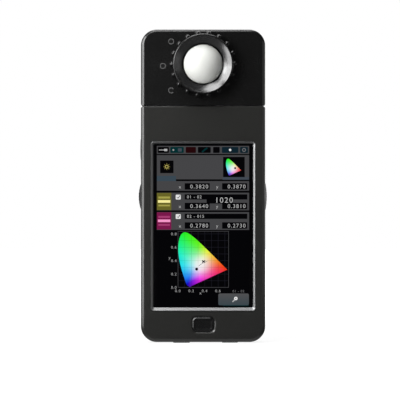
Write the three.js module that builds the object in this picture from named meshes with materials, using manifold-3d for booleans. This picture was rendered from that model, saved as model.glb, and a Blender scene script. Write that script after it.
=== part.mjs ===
// Handheld spectrometer for light: a body with a touch screen, four buttons,
// two socket flaps and a battery bay, and above it a head that swivels on a
// hollow neck and carries a white receptor dome inside a lobed selector ring.
//
// Millimetres, Z up, X to the right of the person who reads the screen.
// The screen and the dome face -Y.  The swivel axis is the Z axis, and the
// bottom face of the body lies at Z = 0.

import * as THREE from 'three';
import * as BufferGeometryUtils from 'three/addons/utils/BufferGeometryUtils.js';
import Module from 'manifold-3d';

const wasm = await Module();
wasm.setup();

// Clearances shared by all pieces

const FIT_GAP = 0.3; // between a piece and the seat that it rests on
const PRESS_GAP = 0.15; // round pieces that are pressed or glued in
const KEY_GAP = 0.25; // round a button in its opening
const OVERRUN = 1.0; // how far a cutter runs past the face that it cuts
const WELD_TOLERANCE = 1e-4; // vertices closer than this are one vertex

// Round shapes are cut into this many steps

const CORNER_STEPS = 5;
const SMALL_CORNER_STEPS = 3;
const ROUNDING_STEPS = 3;
const RING_STEPS = 54;
const HIDDEN_RING_STEPS = 30;
const CELL_STEPS = 20;
const SMALL_ROUND_STEPS = 12;
const DOME_STEPS = 6;
const MIRROR_RINGS = 4;
const WIRE_SIDES = 5;
const WIRE_STEPS_EACH_TURN = 10;

// Screen

const GLASS_WIDTH = 58.4;
const GLASS_HEIGHT = 95.8;
const GLASS_THICKNESS = 1.1;
const GLASS_RECESS = 0.5; // glass below the front face
const GLASS_CORNER_RADIUS = 0.8;
const TRIM_SIDE_WIDTH = 1.25;
const TRIM_TOP_WIDTH = 1.1;
const TRIM_FOOT_WIDTH = 1.9;
const TRIM_PROUD = 0.2; // trim above the front face
const TRIM_LIP_WIDTH = 0.3; // flat lip outside the slope that runs down to the glass
const TRIM_CORNER_RADIUS = 1.6;
const TRIM_FLANGE_WIDTH = 1.2; // hidden flange behind the front wall
const TRIM_FLANGE_THICKNESS = 0.8;
const LCD_THICKNESS = 3.0;

// Electronics behind the screen

const BOARD_THICKNESS = 1.6;
const COMPONENT_SPACE = 1.5; // free height behind the board
const BOARD_SIDE_GAP = 3.0;
const SHIELD_WIDTH = 24.0;
const SHIELD_HEIGHT = 22.0;
const SHIELD_THICKNESS = 1.8;
const SHIELD_CORNER_RADIUS = 1.0;

// Battery bay for two standard AA cells

const CELL_DIAMETER = 14.5;
const CELL_LENGTH = 50.5;
const CELL_NUB_RADIUS = 2.75;
const CELL_NUB_HEIGHT = 1.3;
const CELL_EDGE_RADIUS = 0.6;
const CELL_SPACING = 1.0; // between the two cells
const CONTACT_THICKNESS = 0.5;
const CONTACT_WIDTH = 10.0;
const CONTACT_HEIGHT = 11.0;
const SPRING_LENGTH = 4.5;
const SPRING_TURNS = 3.5;
const SPRING_WIRE_RADIUS = 0.35;
const SPRING_WIDE_RADIUS = 4.4;
const SPRING_NARROW_RADIUS = 2.4;
const BAY_WALL = 1.6;
const BAY_LEDGE = 0.9; // step on which the battery cover rests
const BAY_FLOOR_HEIGHT = 20.0; // inside of the bay above the bottom face
const COVER_THICKNESS = 2.0;
const COVER_CORNER_RADIUS = 2.0;

// Housings

const WALL = 2.0;
const SIDE_MARGIN = 5.9; // from the screen trim to the side of the body
const CHIN_HEIGHT = 18.4; // from the bottom face to the screen trim
const FOREHEAD_HEIGHT = 20.6; // from the screen trim to the top of the body
const HEAD_HEIGHT = 44.6;
const SWIVEL_GAP = 0.7; // between the body and the head
const FRONT_COVER_DEPTH = 16.5; // from the front face to the parting line
const PARTING_GAP = 0.2;
const CORNER_RADIUS = 9.4; // the four outer corners, seen from the front
const SEAM_CORNER_RADIUS = 1.0; // corners beside the swivel gap
const LEAST_CORNER_RADIUS = 0.3;
const FRONT_BEVEL = 1.8;
const SEAM_BEVEL = 0.5;
const BACK_ROUNDING = 3.0;

// Screws and the bosses that they hold

const BOSS_RADIUS = 3.0;
const BOSS_INSET = 6.8; // from the outer faces to the middle of a boss
const SCREW_HEAD_RADIUS = 2.2;
const SCREW_HEAD_HEIGHT = 1.4;
const SCREW_SHAFT_RADIUS = 1.1;
const SCREW_LENGTH = 12.0;
const COUNTERBORE_DEPTH = 3.5;

// Buttons

const MENU_KEY_WIDTH = 12.9;
const MENU_KEY_HEIGHT = 8.6;
const MENU_KEY_CENTRE_HEIGHT = 10.4; // above the bottom face
const MENU_KEY_CORNER_RADIUS = 2.6;
const MENU_GROOVE_WIDTH = 1.2; // dished surround
const MENU_GROOVE_DEPTH = 0.7;
const MENU_KEY_TRAVEL = 0.5;
const SIDE_KEY_DEPTH = 5.5; // along Y
const POWER_KEY_LENGTH = 12.9;
const POWER_KEY_PROUD = 0.5;
const POWER_KEY_DROP = 24.9; // from the top of the body to the middle of the key
const GRIP_KEY_DROP = 52.7; // the same for the measuring and the memory key
const MEASURING_KEY_LENGTH = 15.0;
const MEASURING_KEY_PROUD = 1.5;
const MEMORY_KEY_LENGTH = 16.4;
const MEMORY_KEY_PROUD = 1.1;
const SIDE_KEY_SHOULDER = 0.25; // height of a bowed key at its two ends
const SIDE_KEY_TRAVEL = 0.4;
const KEY_FLANGE_WIDTH = 1.0; // hidden rim that keeps a key in its opening
const KEY_FLANGE_THICKNESS = 0.8;
const KEY_BOW_STEPS = 10;
const SWITCH_SIZE = 6.0;
const SWITCH_DEPTH = 3.6;
const SWITCH_PLUNGER_RADIUS = 1.7;
const SWITCH_PLUNGER_LENGTH = 0.8;

// Sockets and their flaps in the bottom face

const USB_SOCKET_WIDTH = 7.8;
const USB_SOCKET_THICKNESS = 3.2;
const USB_SOCKET_LENGTH = 8.0;
const USB_SOCKET_OFFSET = -12.7; // from the middle of the body, along X
const SYNC_SOCKET_RADIUS = 3.0;
const SYNC_SOCKET_LENGTH = 8.0;
const SYNC_SOCKET_OFFSET = 15.8;
const SYNC_PIN_RADIUS = 0.6;
const SOCKET_WALL = 0.6;
const SOCKET_FLOOR = 1.5;
const USB_FLAP_WIDTH = 9.9;
const SYNC_FLAP_WIDTH = 9.4;
const FLAP_DEPTH = 7.2; // along Y
const FLAP_PROUD = 0.6; // below the bottom face
const FLAP_SINK = 0.8; // above the bottom face
const FLAP_CORNER_RADIUS = 1.6;
const FLAP_LIP_DEPTH = 0.5; // thinned lip for a finger nail

// Battery latch and tripod socket in the back

const LATCH_WIDTH = 11.4;
const LATCH_HEIGHT = 5.9;
const LATCH_TRAVEL = 2.5;
const LATCH_CORNER_RADIUS = 1.0;
const LATCH_MARGIN = 2.4; // wall left between the battery cover and the latch
const GRIP_GROOVE_DEPTH = 0.5;
const GRIP_GROOVE_WIDTH = 0.8;
const GRIP_GROOVE_PITCH = 1.7;
const GRIP_GROOVE_COUNT = 3;
const COVER_GRIP_LENGTH = 14.0;
const COVER_GRIP_DROP = 8.0; // from the top of the cover to the middle of its grooves
const TRIPOD_BOSS_RADIUS = 7.0;
const TRIPOD_NUT_RADIUS = 5.0;
const TRIPOD_BORE_RADIUS = 2.6; // the real one has a 1/4 inch thread of this minor radius
const TRIPOD_NUT_LENGTH = 9.0;
const TRIPOD_MARGIN = 3.0; // between the latch slot and the boss

// Swivel neck

const NECK_RADIUS = 8.0;
const NECK_WALL = 1.5;
const NECK_FLANGE_RADIUS = 10.5;
const NECK_FLANGE_THICKNESS = 2.0;
const NECK_CLIP_THICKNESS = 1.2;
const NECK_LIP = 0.8; // neck above its clip
const CABLE_RADIUS = 2.0;
const CABLE_PLUG_LENGTH = 4.5; // cable below the neck flange
const CABLE_SOCKET_WIDTH = 9.0;
const CABLE_SOCKET_HEIGHT = 7.0;
const CABLE_SOCKET_REACH = 2.5; // behind the swivel axis

// Receptor: measured from the front face of the head, along -Y

const RECEPTOR_HEIGHT = 24.0; // from the bottom of the head to the dome axis
const RING_HEIGHT = 8.5;
const RING_RADIUS = 17.7;
const RING_RIM_WIDTH = 0.5;
const RING_RIM_BEVEL = 0.4;
const DISH_RADIUS = 16.8;
const DISH_DEPTH = 3.2;
const DISH_WALL = 1.5;
const RING_BORE_RADIUS = 12.0;
const RING_TAIL_WALL = 1.2;
const RING_CORE_WALL = 2.0;
const LOBE_COUNT = 18;
const LOBE_RADIUS = 1.55;
const LOBE_REACH = 0.4; // middle of a lobe outside the ring
const LOBE_SETBACK = 1.3; // from the front rim to the tip of a lobe
const LOBE_SIDES = 8;
const LOBE_TIP_STEPS = 2;
const DOME_RADIUS = 11.4;
const DOME_HEIGHT = 7.7;
const DOME_SKIRT = 1.5;
const DOME_WALL = 1.3;
const SEAT_WALL = 2.2;
const BEARING_WALL = 1.2;
const BEARING_FLANGE_WIDTH = 3.5;
const BEARING_FLANGE_THICKNESS = 1.0;
const DISC_OVERLAP = 2.0; // selector disc beyond the bore of the bearing
const DISC_THICKNESS = 1.2;
const SELECTOR_STEP = THREE.MathUtils.degToRad(37.5); // between two positions
const APERTURE_OFFSET = 6.0; // from the dome axis to an aperture
const WIDE_APERTURE_RADIUS = 2.2;
const NARROW_APERTURE_RADIUS = 0.9;
const DIMPLE_OFFSET = 11.5;
const DIMPLE_RADIUS = 1.3;
const DIMPLE_DEPTH = 0.5;

// Detent and optics inside the head

const DETENT_BALL_RADIUS = 1.2;
const DETENT_BALL_STEPS = 6;
const DETENT_SPRING_LENGTH = 2.0;
const DETENT_SPRING_TURNS = 4;
const DETENT_WIRE_RADIUS = 0.2;
const DETENT_COIL_RADIUS = 0.9;
const SLIT_PLATE_SIZE = 7.0;
const SLIT_PLATE_THICKNESS = 0.3;
const SLIT_WIDTH = 0.4;
const SLIT_LENGTH = 3.0;
const OPTICS_HALF_WIDTH = 22.0;
const OPTICS_HALF_HEIGHT = 15.0;
const OPTICS_DEPTH = 13.6;
const OPTICS_FRONT_WALL = 5.6;
const OPTICS_WALL = 2.0;
const LIGHT_TUNNEL_RADIUS = 2.0;
const SENSOR_BOARD_THICKNESS = 1.6;
const MIRROR_RADIUS = 8.0;
const MIRROR_THICKNESS = 3.2;
const MIRROR_HOLLOW = 0.8;
const MIRROR_STEPS = 24;
const LINE_SENSOR_WIDTH = 3.0;
const LINE_SENSOR_LENGTH = 18.0;
const LINE_SENSOR_THICKNESS = 2.2;
const LINE_SENSOR_OFFSET = 13.0;
const POST_RADIUS = 2.2;
const POST_INSET = 3.0; // from the sides of the optics block

// Sizes that follow from the ones above

const TRIM_WIDTH = GLASS_WIDTH + 2 * (PRESS_GAP + TRIM_SIDE_WIDTH);
const TRIM_HEIGHT = GLASS_HEIGHT + 2 * PRESS_GAP + TRIM_TOP_WIDTH + TRIM_FOOT_WIDTH;
const BODY_WIDTH = TRIM_WIDTH + 2 * SIDE_MARGIN;
const HALF_WIDTH = BODY_WIDTH / 2;
const BODY_HEIGHT = CHIN_HEIGHT + TRIM_HEIGHT + FOREHEAD_HEIGHT;
const BODY_DEPTH = GLASS_RECESS + GLASS_THICKNESS + FIT_GAP + LCD_THICKNESS + FIT_GAP
  + BOARD_THICKNESS + COMPONENT_SPACE + BAY_WALL + FIT_GAP + CELL_DIAMETER + FIT_GAP
  + COVER_THICKNESS;
const FRONT_Y = -BODY_DEPTH / 2;
const BACK_Y = BODY_DEPTH / 2;
const PARTING_Y = FRONT_Y + FRONT_COVER_DEPTH;
const GLASS_FRONT_Y = FRONT_Y + GLASS_RECESS;
const LCD_FRONT_Y = GLASS_FRONT_Y + GLASS_THICKNESS + FIT_GAP;
const BOARD_FRONT_Y = LCD_FRONT_Y + LCD_THICKNESS + FIT_GAP;
const BOARD_BACK_Y = BOARD_FRONT_Y + BOARD_THICKNESS;
const BAY_FRONT_Y = BOARD_BACK_Y + COMPONENT_SPACE;
const CELL_Y = BAY_FRONT_Y + BAY_WALL + FIT_GAP + CELL_DIAMETER / 2;
const COVER_FRONT_Y = BACK_Y - COVER_THICKNESS;
const BEHIND_FRONT_WALL_Y = FRONT_Y + WALL + FIT_GAP;
const TRIM_LOW = CHIN_HEIGHT;
const TRIM_HIGH = TRIM_LOW + TRIM_HEIGHT;
const GLASS_LOW = TRIM_LOW + TRIM_FOOT_WIDTH + PRESS_GAP;
const GLASS_HIGH = GLASS_LOW + GLASS_HEIGHT;

const BAY_HALF_WIDTH = CELL_DIAMETER + CELL_SPACING / 2 + FIT_GAP;
const BAY_LOW = BAY_FLOOR_HEIGHT;
const CELL_LOW = BAY_LOW + FIT_GAP + CONTACT_THICKNESS + FIT_GAP + SPRING_LENGTH + FIT_GAP;
const CELL_HIGH = CELL_LOW + CELL_LENGTH;
const BAY_HIGH = CELL_HIGH + FIT_GAP + CONTACT_THICKNESS + FIT_GAP;
const OPENING_HALF_WIDTH = BAY_HALF_WIDTH + BAY_LEDGE;
const OPENING_LOW = BAY_LOW - BAY_LEDGE;
const OPENING_HIGH = BAY_HIGH + BAY_LEDGE;
const CELL_X = (CELL_DIAMETER + CELL_SPACING) / 2;

const LATCH_LOW = OPENING_HIGH + LATCH_MARGIN;
const LATCH_SLOT_HIGH = LATCH_LOW + LATCH_HEIGHT + LATCH_TRAVEL + 2 * KEY_GAP;
const TRIPOD_Z = LATCH_SLOT_HIGH + TRIPOD_MARGIN + TRIPOD_BOSS_RADIUS;

const HEAD_BASE_Z = BODY_HEIGHT + SWIVEL_GAP;
const CAVITY_TOP = BODY_HEIGHT - WALL;
const NECK_FLANGE_HIGH = CAVITY_TOP - FIT_GAP;
const NECK_FLANGE_LOW = NECK_FLANGE_HIGH - NECK_FLANGE_THICKNESS;
const NECK_CLIP_LOW = HEAD_BASE_Z + WALL + FIT_GAP;
const NECK_TOP = NECK_CLIP_LOW + NECK_CLIP_THICKNESS + NECK_LIP;
const CABLE_LOW = NECK_FLANGE_LOW - CABLE_PLUG_LENGTH;

const POWER_KEY_Z = BODY_HEIGHT - POWER_KEY_DROP;
const GRIP_KEY_Z = BODY_HEIGHT - GRIP_KEY_DROP;
const SIDE_KEY_Y = BOARD_BACK_Y + FIT_GAP + SWITCH_SIZE / 2;
const WALL_INSIDE_X = HALF_WIDTH - WALL;
const KEY_FLANGE_INNER_X = WALL_INSIDE_X - FIT_GAP - KEY_FLANGE_THICKNESS;
const MENU_FLANGE_BACK_Y = BEHIND_FRONT_WALL_Y + KEY_FLANGE_THICKNESS;
const USB_SOCKET_Y = BOARD_BACK_Y + FIT_GAP + USB_SOCKET_THICKNESS / 2;
const SYNC_SOCKET_Y = BOARD_BACK_Y + FIT_GAP + SYNC_SOCKET_RADIUS;
const SOCKET_LOW = WALL + FIT_GAP;

// Receptor depths behind (+) and before (-) the front face of the head
const RING_BACK = -FIT_GAP;
const DISH_FLOOR = -RING_HEIGHT + DISH_DEPTH;
const BEARING_BACK = WALL + FIT_GAP + BEARING_FLANGE_THICKNESS;
const DISC_FRONT = BEARING_BACK + FIT_GAP;
const DISC_BACK = DISC_FRONT + DISC_THICKNESS;
const TAIL_BACK = DISC_FRONT - PRESS_GAP;
const SLIT_FRONT = DISC_BACK + FIT_GAP;
const OPTICS_FRONT = SLIT_FRONT + SLIT_PLATE_THICKNESS + FIT_GAP;
const OPTICS_INSIDE = OPTICS_FRONT + OPTICS_FRONT_WALL;
const OPTICS_BACK = OPTICS_FRONT + OPTICS_DEPTH;
const TAIL_RADIUS = RING_BORE_RADIUS + RING_TAIL_WALL;
const BEARING_BORE_RADIUS = TAIL_RADIUS + FIT_GAP;
const BEARING_RADIUS = BEARING_BORE_RADIUS + BEARING_WALL;
const DISC_RADIUS = BEARING_BORE_RADIUS + DISC_OVERLAP;

// Finishes: colour, roughness and metalness

const FINISHES = {
  bodyPaint: [0x38383a, 0.5, 0.15],
  headPaint: [0x1b1c1c, 0.45, 0.15],
  brightTrim: [0x9a9b9c, 0.35, 0.9],
  screenGlass: [0x08090b, 0.08, 0.0],
  lcdPlate: [0x2b2f33, 0.4, 0.3],
  boardLaminate: [0x14532d, 0.5, 0.0],
  tinPlate: [0xb6b8ba, 0.35, 0.9],
  blackPlastic: [0x161616, 0.5, 0.0],
  keyRubber: [0x202022, 0.65, 0.0],
  softRubber: [0x121212, 0.8, 0.0],
  cellJacket: [0x2f4f6f, 0.35, 0.4],
  steel: [0x8f9194, 0.35, 0.95],
  brass: [0xb08d4a, 0.35, 0.9],
  ringMetal: [0x1d1d1e, 0.35, 0.6],
  opalDome: [0xf4f4f1, 0.4, 0.0],
  darkAnodised: [0x101012, 0.5, 0.5],
  gratingGlass: [0xc7cdd4, 0.1, 0.6],
  sensorCeramic: [0x3a3330, 0.5, 0.1],
  cableJacket: [0x0f0f10, 0.6, 0.0],
};

// Shape tools

function weldedGeometry(geometry) {
  const bare = geometry.index ? geometry.toNonIndexed() : geometry.clone();
  bare.deleteAttribute('normal');
  bare.deleteAttribute('uv');
  const welded = BufferGeometryUtils.mergeVertices(bare, WELD_TOLERANCE);
  const kept = [];
  const index = welded.index.array;
  for (let corner = 0; corner < index.length; corner += 3) {
    const [first, second, third] = index.slice(corner, corner + 3);
    if (first !== second && second !== third && third !== first) {
      kept.push(first, second, third);
    }
  }
  welded.setIndex(kept);
  return welded;
}

function solidOf(shape) {
  if (shape instanceof wasm.Manifold) {
    return shape;
  }
  const welded = weldedGeometry(shape);
  return new wasm.Manifold(new wasm.Mesh({
    numProp: 3,
    vertProperties: new Float32Array(welded.attributes.position.array),
    triVerts: new Uint32Array(welded.index.array),
  }));
}

function geometryOf(solid) {
  const mesh = solid.getMesh();
  const geometry = new THREE.BufferGeometry();
  geometry.setAttribute('position', new THREE.BufferAttribute(mesh.vertProperties, 3));
  geometry.setIndex(new THREE.BufferAttribute(mesh.triVerts, 1));
  return geometry;
}

function join(...shapes) {
  return shapes.map(solidOf).reduce((whole, piece) => whole.add(piece));
}

function cut(shape, ...tools) {
  return tools.map(solidOf).reduce((rest, tool) => rest.subtract(tool), solidOf(shape));
}

// Points of a rounded rectangle, anticlockwise; the two low corners and the
// two high corners may have different radii.
function roundedRectangle(left, right, low, high, lowRadius, highRadius = lowRadius,
  steps = CORNER_STEPS) {
  const quarter = Math.PI / 2;
  const corners = [
    [right - lowRadius, low + lowRadius, lowRadius, -quarter],
    [right - highRadius, high - highRadius, highRadius, 0],
    [left + highRadius, high - highRadius, highRadius, quarter],
    [left + lowRadius, low + lowRadius, lowRadius, 2 * quarter],
  ];
  return corners.flatMap(([x, z, radius, start]) => Array.from({ length: steps + 1 }, (_, step) => {
    const angle = start + (step / steps) * quarter;
    return new THREE.Vector2(x + radius * Math.cos(angle), z + radius * Math.sin(angle));
  }));
}

// A closed solid through outlines in the XZ plane, one for each depth along Y.
// All outlines have the same number of points.
function loft(sections) {
  const count = sections[0].outline.length;
  const vertices = sections.flatMap(({ y, outline }) => outline.flatMap((p) => [p.x, y, p.y]));
  const faces = THREE.ShapeUtils.triangulateShape(sections[0].outline, []);
  const lastRing = (sections.length - 1) * count;
  const index = faces.flatMap(([a, b, c]) => [a, b, c]);
  index.push(...faces.flatMap(([a, b, c]) => [lastRing + c, lastRing + b, lastRing + a]));
  for (let ring = 0; ring < lastRing; ring += count) {
    for (let point = 0; point < count; point += 1) {
      const next = (point + 1) % count;
      index.push(ring + point, ring + count + point, ring + count + next);
      index.push(ring + point, ring + count + next, ring + next);
    }
  }
  const geometry = new THREE.BufferGeometry();
  geometry.setAttribute('position', new THREE.Float32BufferAttribute(vertices, 3));
  geometry.setIndex(index);
  return geometry;
}

// A plate of one outline in the XZ plane
function plate(outline, frontY, backY) {
  return loft([{ y: frontY, outline }, { y: backY, outline }]);
}

// A plate with rounded corners, centred on X
function roundedPlate(halfWidth, low, high, radius, frontY, backY) {
  return plate(roundedRectangle(-halfWidth, halfWidth, low, high, radius), frontY, backY);
}

function block(left, right, frontY, backY, low, high) {
  const box = new THREE.BoxGeometry(right - left, backY - frontY, high - low);
  return box.translate((left + right) / 2, (frontY + backY) / 2, (low + high) / 2);
}

// A turned solid about the Y axis, from [radius, y] pairs that run
// anticlockwise: front to back along the outside
function turned(profile, steps) {
  return new THREE.LatheGeometry(profile.map(([radius, y]) => new THREE.Vector2(radius, y)), steps);
}

// The same about the Z axis, from [radius, z] pairs
function turnedUpright(profile, steps) {
  return turned(profile, steps).rotateX(Math.PI / 2);
}

function rodProfile(radius, from, to) {
  return [[0, from], [radius, from], [radius, to], [0, to]];
}

function tubeProfile(bore, radius, from, to) {
  return [[bore, from], [radius, from], [radius, to], [bore, to], [bore, from]];
}

// A straight round bar along Y at a place in the XZ plane
function bar(radius, x, z, frontY, backY, steps = SMALL_ROUND_STEPS) {
  return turned(rodProfile(radius, frontY, backY), steps).translate(x, 0, z);
}

// Points of an arc about [0, centre] from one angle off the axis to another
function arcPoints(radius, centre, from, to, steps) {
  return Array.from({ length: steps + 1 }, (_, step) => {
    const angle = from + (step / steps) * (to - from);
    return [radius * Math.sin(angle), centre - radius * Math.cos(angle)];
  });
}

class ConicalHelix extends THREE.Curve {
  constructor(startRadius, endRadius, length, turns) {
    super();
    Object.assign(this, { startRadius, endRadius, length, turns });
  }

  getPoint(share, target = new THREE.Vector3()) {
    const radius = THREE.MathUtils.lerp(this.startRadius, this.endRadius, share);
    const angle = share * this.turns * 2 * Math.PI;
    return target.set(radius * Math.cos(angle), radius * Math.sin(angle), share * this.length);
  }
}

// A coil spring that rises along Z from the middle of its lowest wire
function coil(startRadius, endRadius, length, turns, wireRadius) {
  const wire = new THREE.Shape(Array.from({ length: WIRE_SIDES }, (_, side) => {
    const angle = (side / WIRE_SIDES) * 2 * Math.PI;
    return new THREE.Vector2(wireRadius * Math.cos(angle), wireRadius * Math.sin(angle));
  }));
  return new THREE.ExtrudeGeometry(wire, {
    extrudePath: new ConicalHelix(startRadius, endRadius, length, turns),
    steps: Math.round(WIRE_STEPS_EACH_TURN * turns),
    bevelEnabled: false,
  });
}

// Groups that move as one, and the mesh that each piece becomes

const spectrometer = new THREE.Group();
const body = new THREE.Group();
const head = new THREE.Group();
const receptor = new THREE.Group();
head.position.z = HEAD_BASE_Z;
receptor.position.set(0, FRONT_Y, RECEPTOR_HEIGHT);
spectrometer.add(body, head);
head.add(receptor);

function addPiece(group, name, shape, finishName) {
  const [color, roughness, metalness] = FINISHES[finishName];
  const material = new THREE.MeshStandardMaterial({ color, roughness, metalness });
  const mesh = new THREE.Mesh(geometryOf(solidOf(shape)), material);
  mesh.name = name;
  group.add(mesh);
}

// Housings: the body and the head share one section, and differ in their ends

const BODY_HOUSING = {
  low: 0, high: BODY_HEIGHT, lowRadius: CORNER_RADIUS, highRadius: SEAM_CORNER_RADIUS, seamHigh: true,
};
const HEAD_HOUSING = {
  low: 0, high: HEAD_HEIGHT, lowRadius: SEAM_CORNER_RADIUS, highRadius: CORNER_RADIUS, seamHigh: false,
};

function housingOutline(housing, inset, seamInset) {
  const { low, high, lowRadius, highRadius, seamHigh } = housing;
  const lowInset = seamHigh ? inset : seamInset;
  const highInset = seamHigh ? seamInset : inset;
  return roundedRectangle(
    inset - HALF_WIDTH,
    HALF_WIDTH - inset,
    low + lowInset,
    high - highInset,
    Math.max(lowRadius - inset, LEAST_CORNER_RADIUS),
    Math.max(highRadius - inset, LEAST_CORNER_RADIUS),
  );
}

function bossPlaces({ low, high }) {
  const x = HALF_WIDTH - BOSS_INSET;
  return [[-x, low + BOSS_INSET], [x, low + BOSS_INSET], [-x, high - BOSS_INSET], [x, high - BOSS_INSET]];
}

// Front shell: a flat bevel round the face, a cavity, and four blind bosses
function frontShell(housing) {
  const backY = PARTING_Y - PARTING_GAP / 2;
  const skin = loft([
    { y: FRONT_Y, outline: housingOutline(housing, FRONT_BEVEL, SEAM_BEVEL) },
    { y: FRONT_Y + FRONT_BEVEL, outline: housingOutline(housing, 0, 0) },
    { y: backY, outline: housingOutline(housing, 0, 0) },
  ]);
  const cavity = plate(housingOutline(housing, WALL, WALL), FRONT_Y + WALL, backY + OVERRUN);
  const shaftEndY = BACK_Y - COUNTERBORE_DEPTH - SCREW_LENGTH;
  const places = bossPlaces(housing);
  const bosses = places.map(([x, z]) => bar(BOSS_RADIUS, x, z, FRONT_Y + WALL / 2, backY));
  const pilots = places.map(([x, z]) => bar(
    SCREW_SHAFT_RADIUS + PRESS_GAP, x, z, shaftEndY - FIT_GAP, backY + OVERRUN,
  ));
  return cut(join(cut(skin, cavity), ...bosses), ...pilots);
}

// Rear shell: a rounded back, a cavity, and four bosses with sunk screw heads
function rearShell(housing) {
  const frontY = PARTING_Y + PARTING_GAP / 2;
  const rounding = Array.from({ length: ROUNDING_STEPS + 1 }, (_, step) => {
    const angle = (step / ROUNDING_STEPS) * (Math.PI / 2);
    const inset = BACK_ROUNDING * (1 - Math.cos(angle));
    const seamInset = inset * (SEAM_BEVEL / BACK_ROUNDING);
    return {
      y: BACK_Y - BACK_ROUNDING + BACK_ROUNDING * Math.sin(angle),
      outline: housingOutline(housing, inset, seamInset),
    };
  });
  const skin = loft([{ y: frontY, outline: housingOutline(housing, 0, 0) }, ...rounding]);
  const cavity = plate(housingOutline(housing, WALL, WALL), frontY - OVERRUN, BACK_Y - WALL);
  const places = bossPlaces(housing);
  const bosses = places.map(([x, z]) => bar(BOSS_RADIUS, x, z, frontY, BACK_Y - WALL / 2));
  const holes = places.flatMap(([x, z]) => [
    bar(SCREW_SHAFT_RADIUS + PRESS_GAP, x, z, frontY - OVERRUN, BACK_Y),
    bar(SCREW_HEAD_RADIUS + PRESS_GAP, x, z, BACK_Y - COUNTERBORE_DEPTH, BACK_Y + OVERRUN),
  ]);
  return cut(join(cut(skin, cavity), ...bosses), ...holes);
}

// A pan-head screw in each boss of a housing, driven from the back
function addScrews(group, name, housing) {
  const headY = BACK_Y - COUNTERBORE_DEPTH + PRESS_GAP;
  const roundedY = headY + SCREW_HEAD_HEIGHT / 2;
  const backY = headY + SCREW_HEAD_HEIGHT;
  const profile = [
    [0, headY - SCREW_LENGTH],
    [SCREW_SHAFT_RADIUS, headY - SCREW_LENGTH + SCREW_SHAFT_RADIUS],
    [SCREW_SHAFT_RADIUS, headY],
    [SCREW_HEAD_RADIUS, headY],
    [SCREW_HEAD_RADIUS, roundedY],
    [SCREW_HEAD_RADIUS - SCREW_HEAD_HEIGHT / 2, backY],
    [0, backY],
  ];
  bossPlaces(housing).forEach(([x, z], number) => {
    const screw = turned(profile, SMALL_ROUND_STEPS).translate(x, 0, z);
    addPiece(group, `${name}_${number + 1}`, screw, 'steel');
  });
}

// The hole for the neck, through both covers of a housing at its seam wall
function neckHole(low, high) {
  return turnedUpright(rodProfile(NECK_RADIUS + FIT_GAP, low - OVERRUN, high + OVERRUN), HIDDEN_RING_STEPS);
}

// Buttons

// Outline of a side key seen from the front: a bowed outer edge that rises
// from its two shoulders to its peak, and a straight inner edge
function bowedKeyOutline(length, proud, innerX) {
  const half = length / 2;
  const rise = Math.max(proud - SIDE_KEY_SHOULDER, 0);
  const bow = Array.from({ length: KEY_BOW_STEPS + 1 }, (_, step) => {
    const share = (2 * step) / KEY_BOW_STEPS - 1;
    const x = HALF_WIDTH + SIDE_KEY_SHOULDER + rise * Math.cos(share * (Math.PI / 2));
    return new THREE.Vector2(x, share * half);
  });
  return [new THREE.Vector2(innerX, -half), ...bow, new THREE.Vector2(innerX, half)];
}

function sideKey(length, proud) {
  const frontY = SIDE_KEY_Y - SIDE_KEY_DEPTH / 2;
  const backY = SIDE_KEY_Y + SIDE_KEY_DEPTH / 2;
  const cap = plate(bowedKeyOutline(length, proud, KEY_FLANGE_INNER_X), frontY, backY);
  const flange = block(
    KEY_FLANGE_INNER_X,
    KEY_FLANGE_INNER_X + KEY_FLANGE_THICKNESS,
    frontY - KEY_FLANGE_WIDTH,
    backY + KEY_FLANGE_WIDTH,
    -length / 2 - KEY_FLANGE_WIDTH,
    length / 2 + KEY_FLANGE_WIDTH,
  );
  return join(cap, flange);
}

// side is 1 for the right of the body and -1 for the left
function onSide(shape, side, z) {
  const turnedShape = side > 0 ? shape : shape.rotate([0, 0, 180]);
  const mirroredY = side > 0 ? 0 : 2 * SIDE_KEY_Y;
  return turnedShape.translate([0, mirroredY, z]);
}

function sideKeyHole(length, side, z) {
  const slot = block(
    WALL_INSIDE_X - OVERRUN,
    HALF_WIDTH + OVERRUN,
    SIDE_KEY_Y - SIDE_KEY_DEPTH / 2 - KEY_GAP,
    SIDE_KEY_Y + SIDE_KEY_DEPTH / 2 + KEY_GAP,
    -length / 2 - KEY_GAP,
    length / 2 + KEY_GAP,
  );
  return onSide(solidOf(slot), side, z);
}

// A right-angle switch behind a side key, whose plunger ends short of the key
// by the key's travel
function sideSwitch() {
  const tipX = KEY_FLANGE_INNER_X - SIDE_KEY_TRAVEL - FIT_GAP;
  const caseX = tipX - SWITCH_PLUNGER_LENGTH;
  const half = SWITCH_SIZE / 2;
  const box = block(caseX - SWITCH_DEPTH, caseX, SIDE_KEY_Y - half, SIDE_KEY_Y + half, -half, half);
  const plunger = turned(rodProfile(SWITCH_PLUNGER_RADIUS, caseX - OVERRUN, tipX), SMALL_ROUND_STEPS)
    .rotateZ(-Math.PI / 2).translate(0, SIDE_KEY_Y, 0);
  return join(box, plunger);
}

function menuKeyOutline(margin) {
  const halfWidth = MENU_KEY_WIDTH / 2 + margin;
  const halfHeight = MENU_KEY_HEIGHT / 2 + margin;
  return roundedRectangle(
    -halfWidth,
    halfWidth,
    MENU_KEY_CENTRE_HEIGHT - halfHeight,
    MENU_KEY_CENTRE_HEIGHT + halfHeight,
    MENU_KEY_CORNER_RADIUS + margin,
  );
}

// Sockets and flaps

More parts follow.
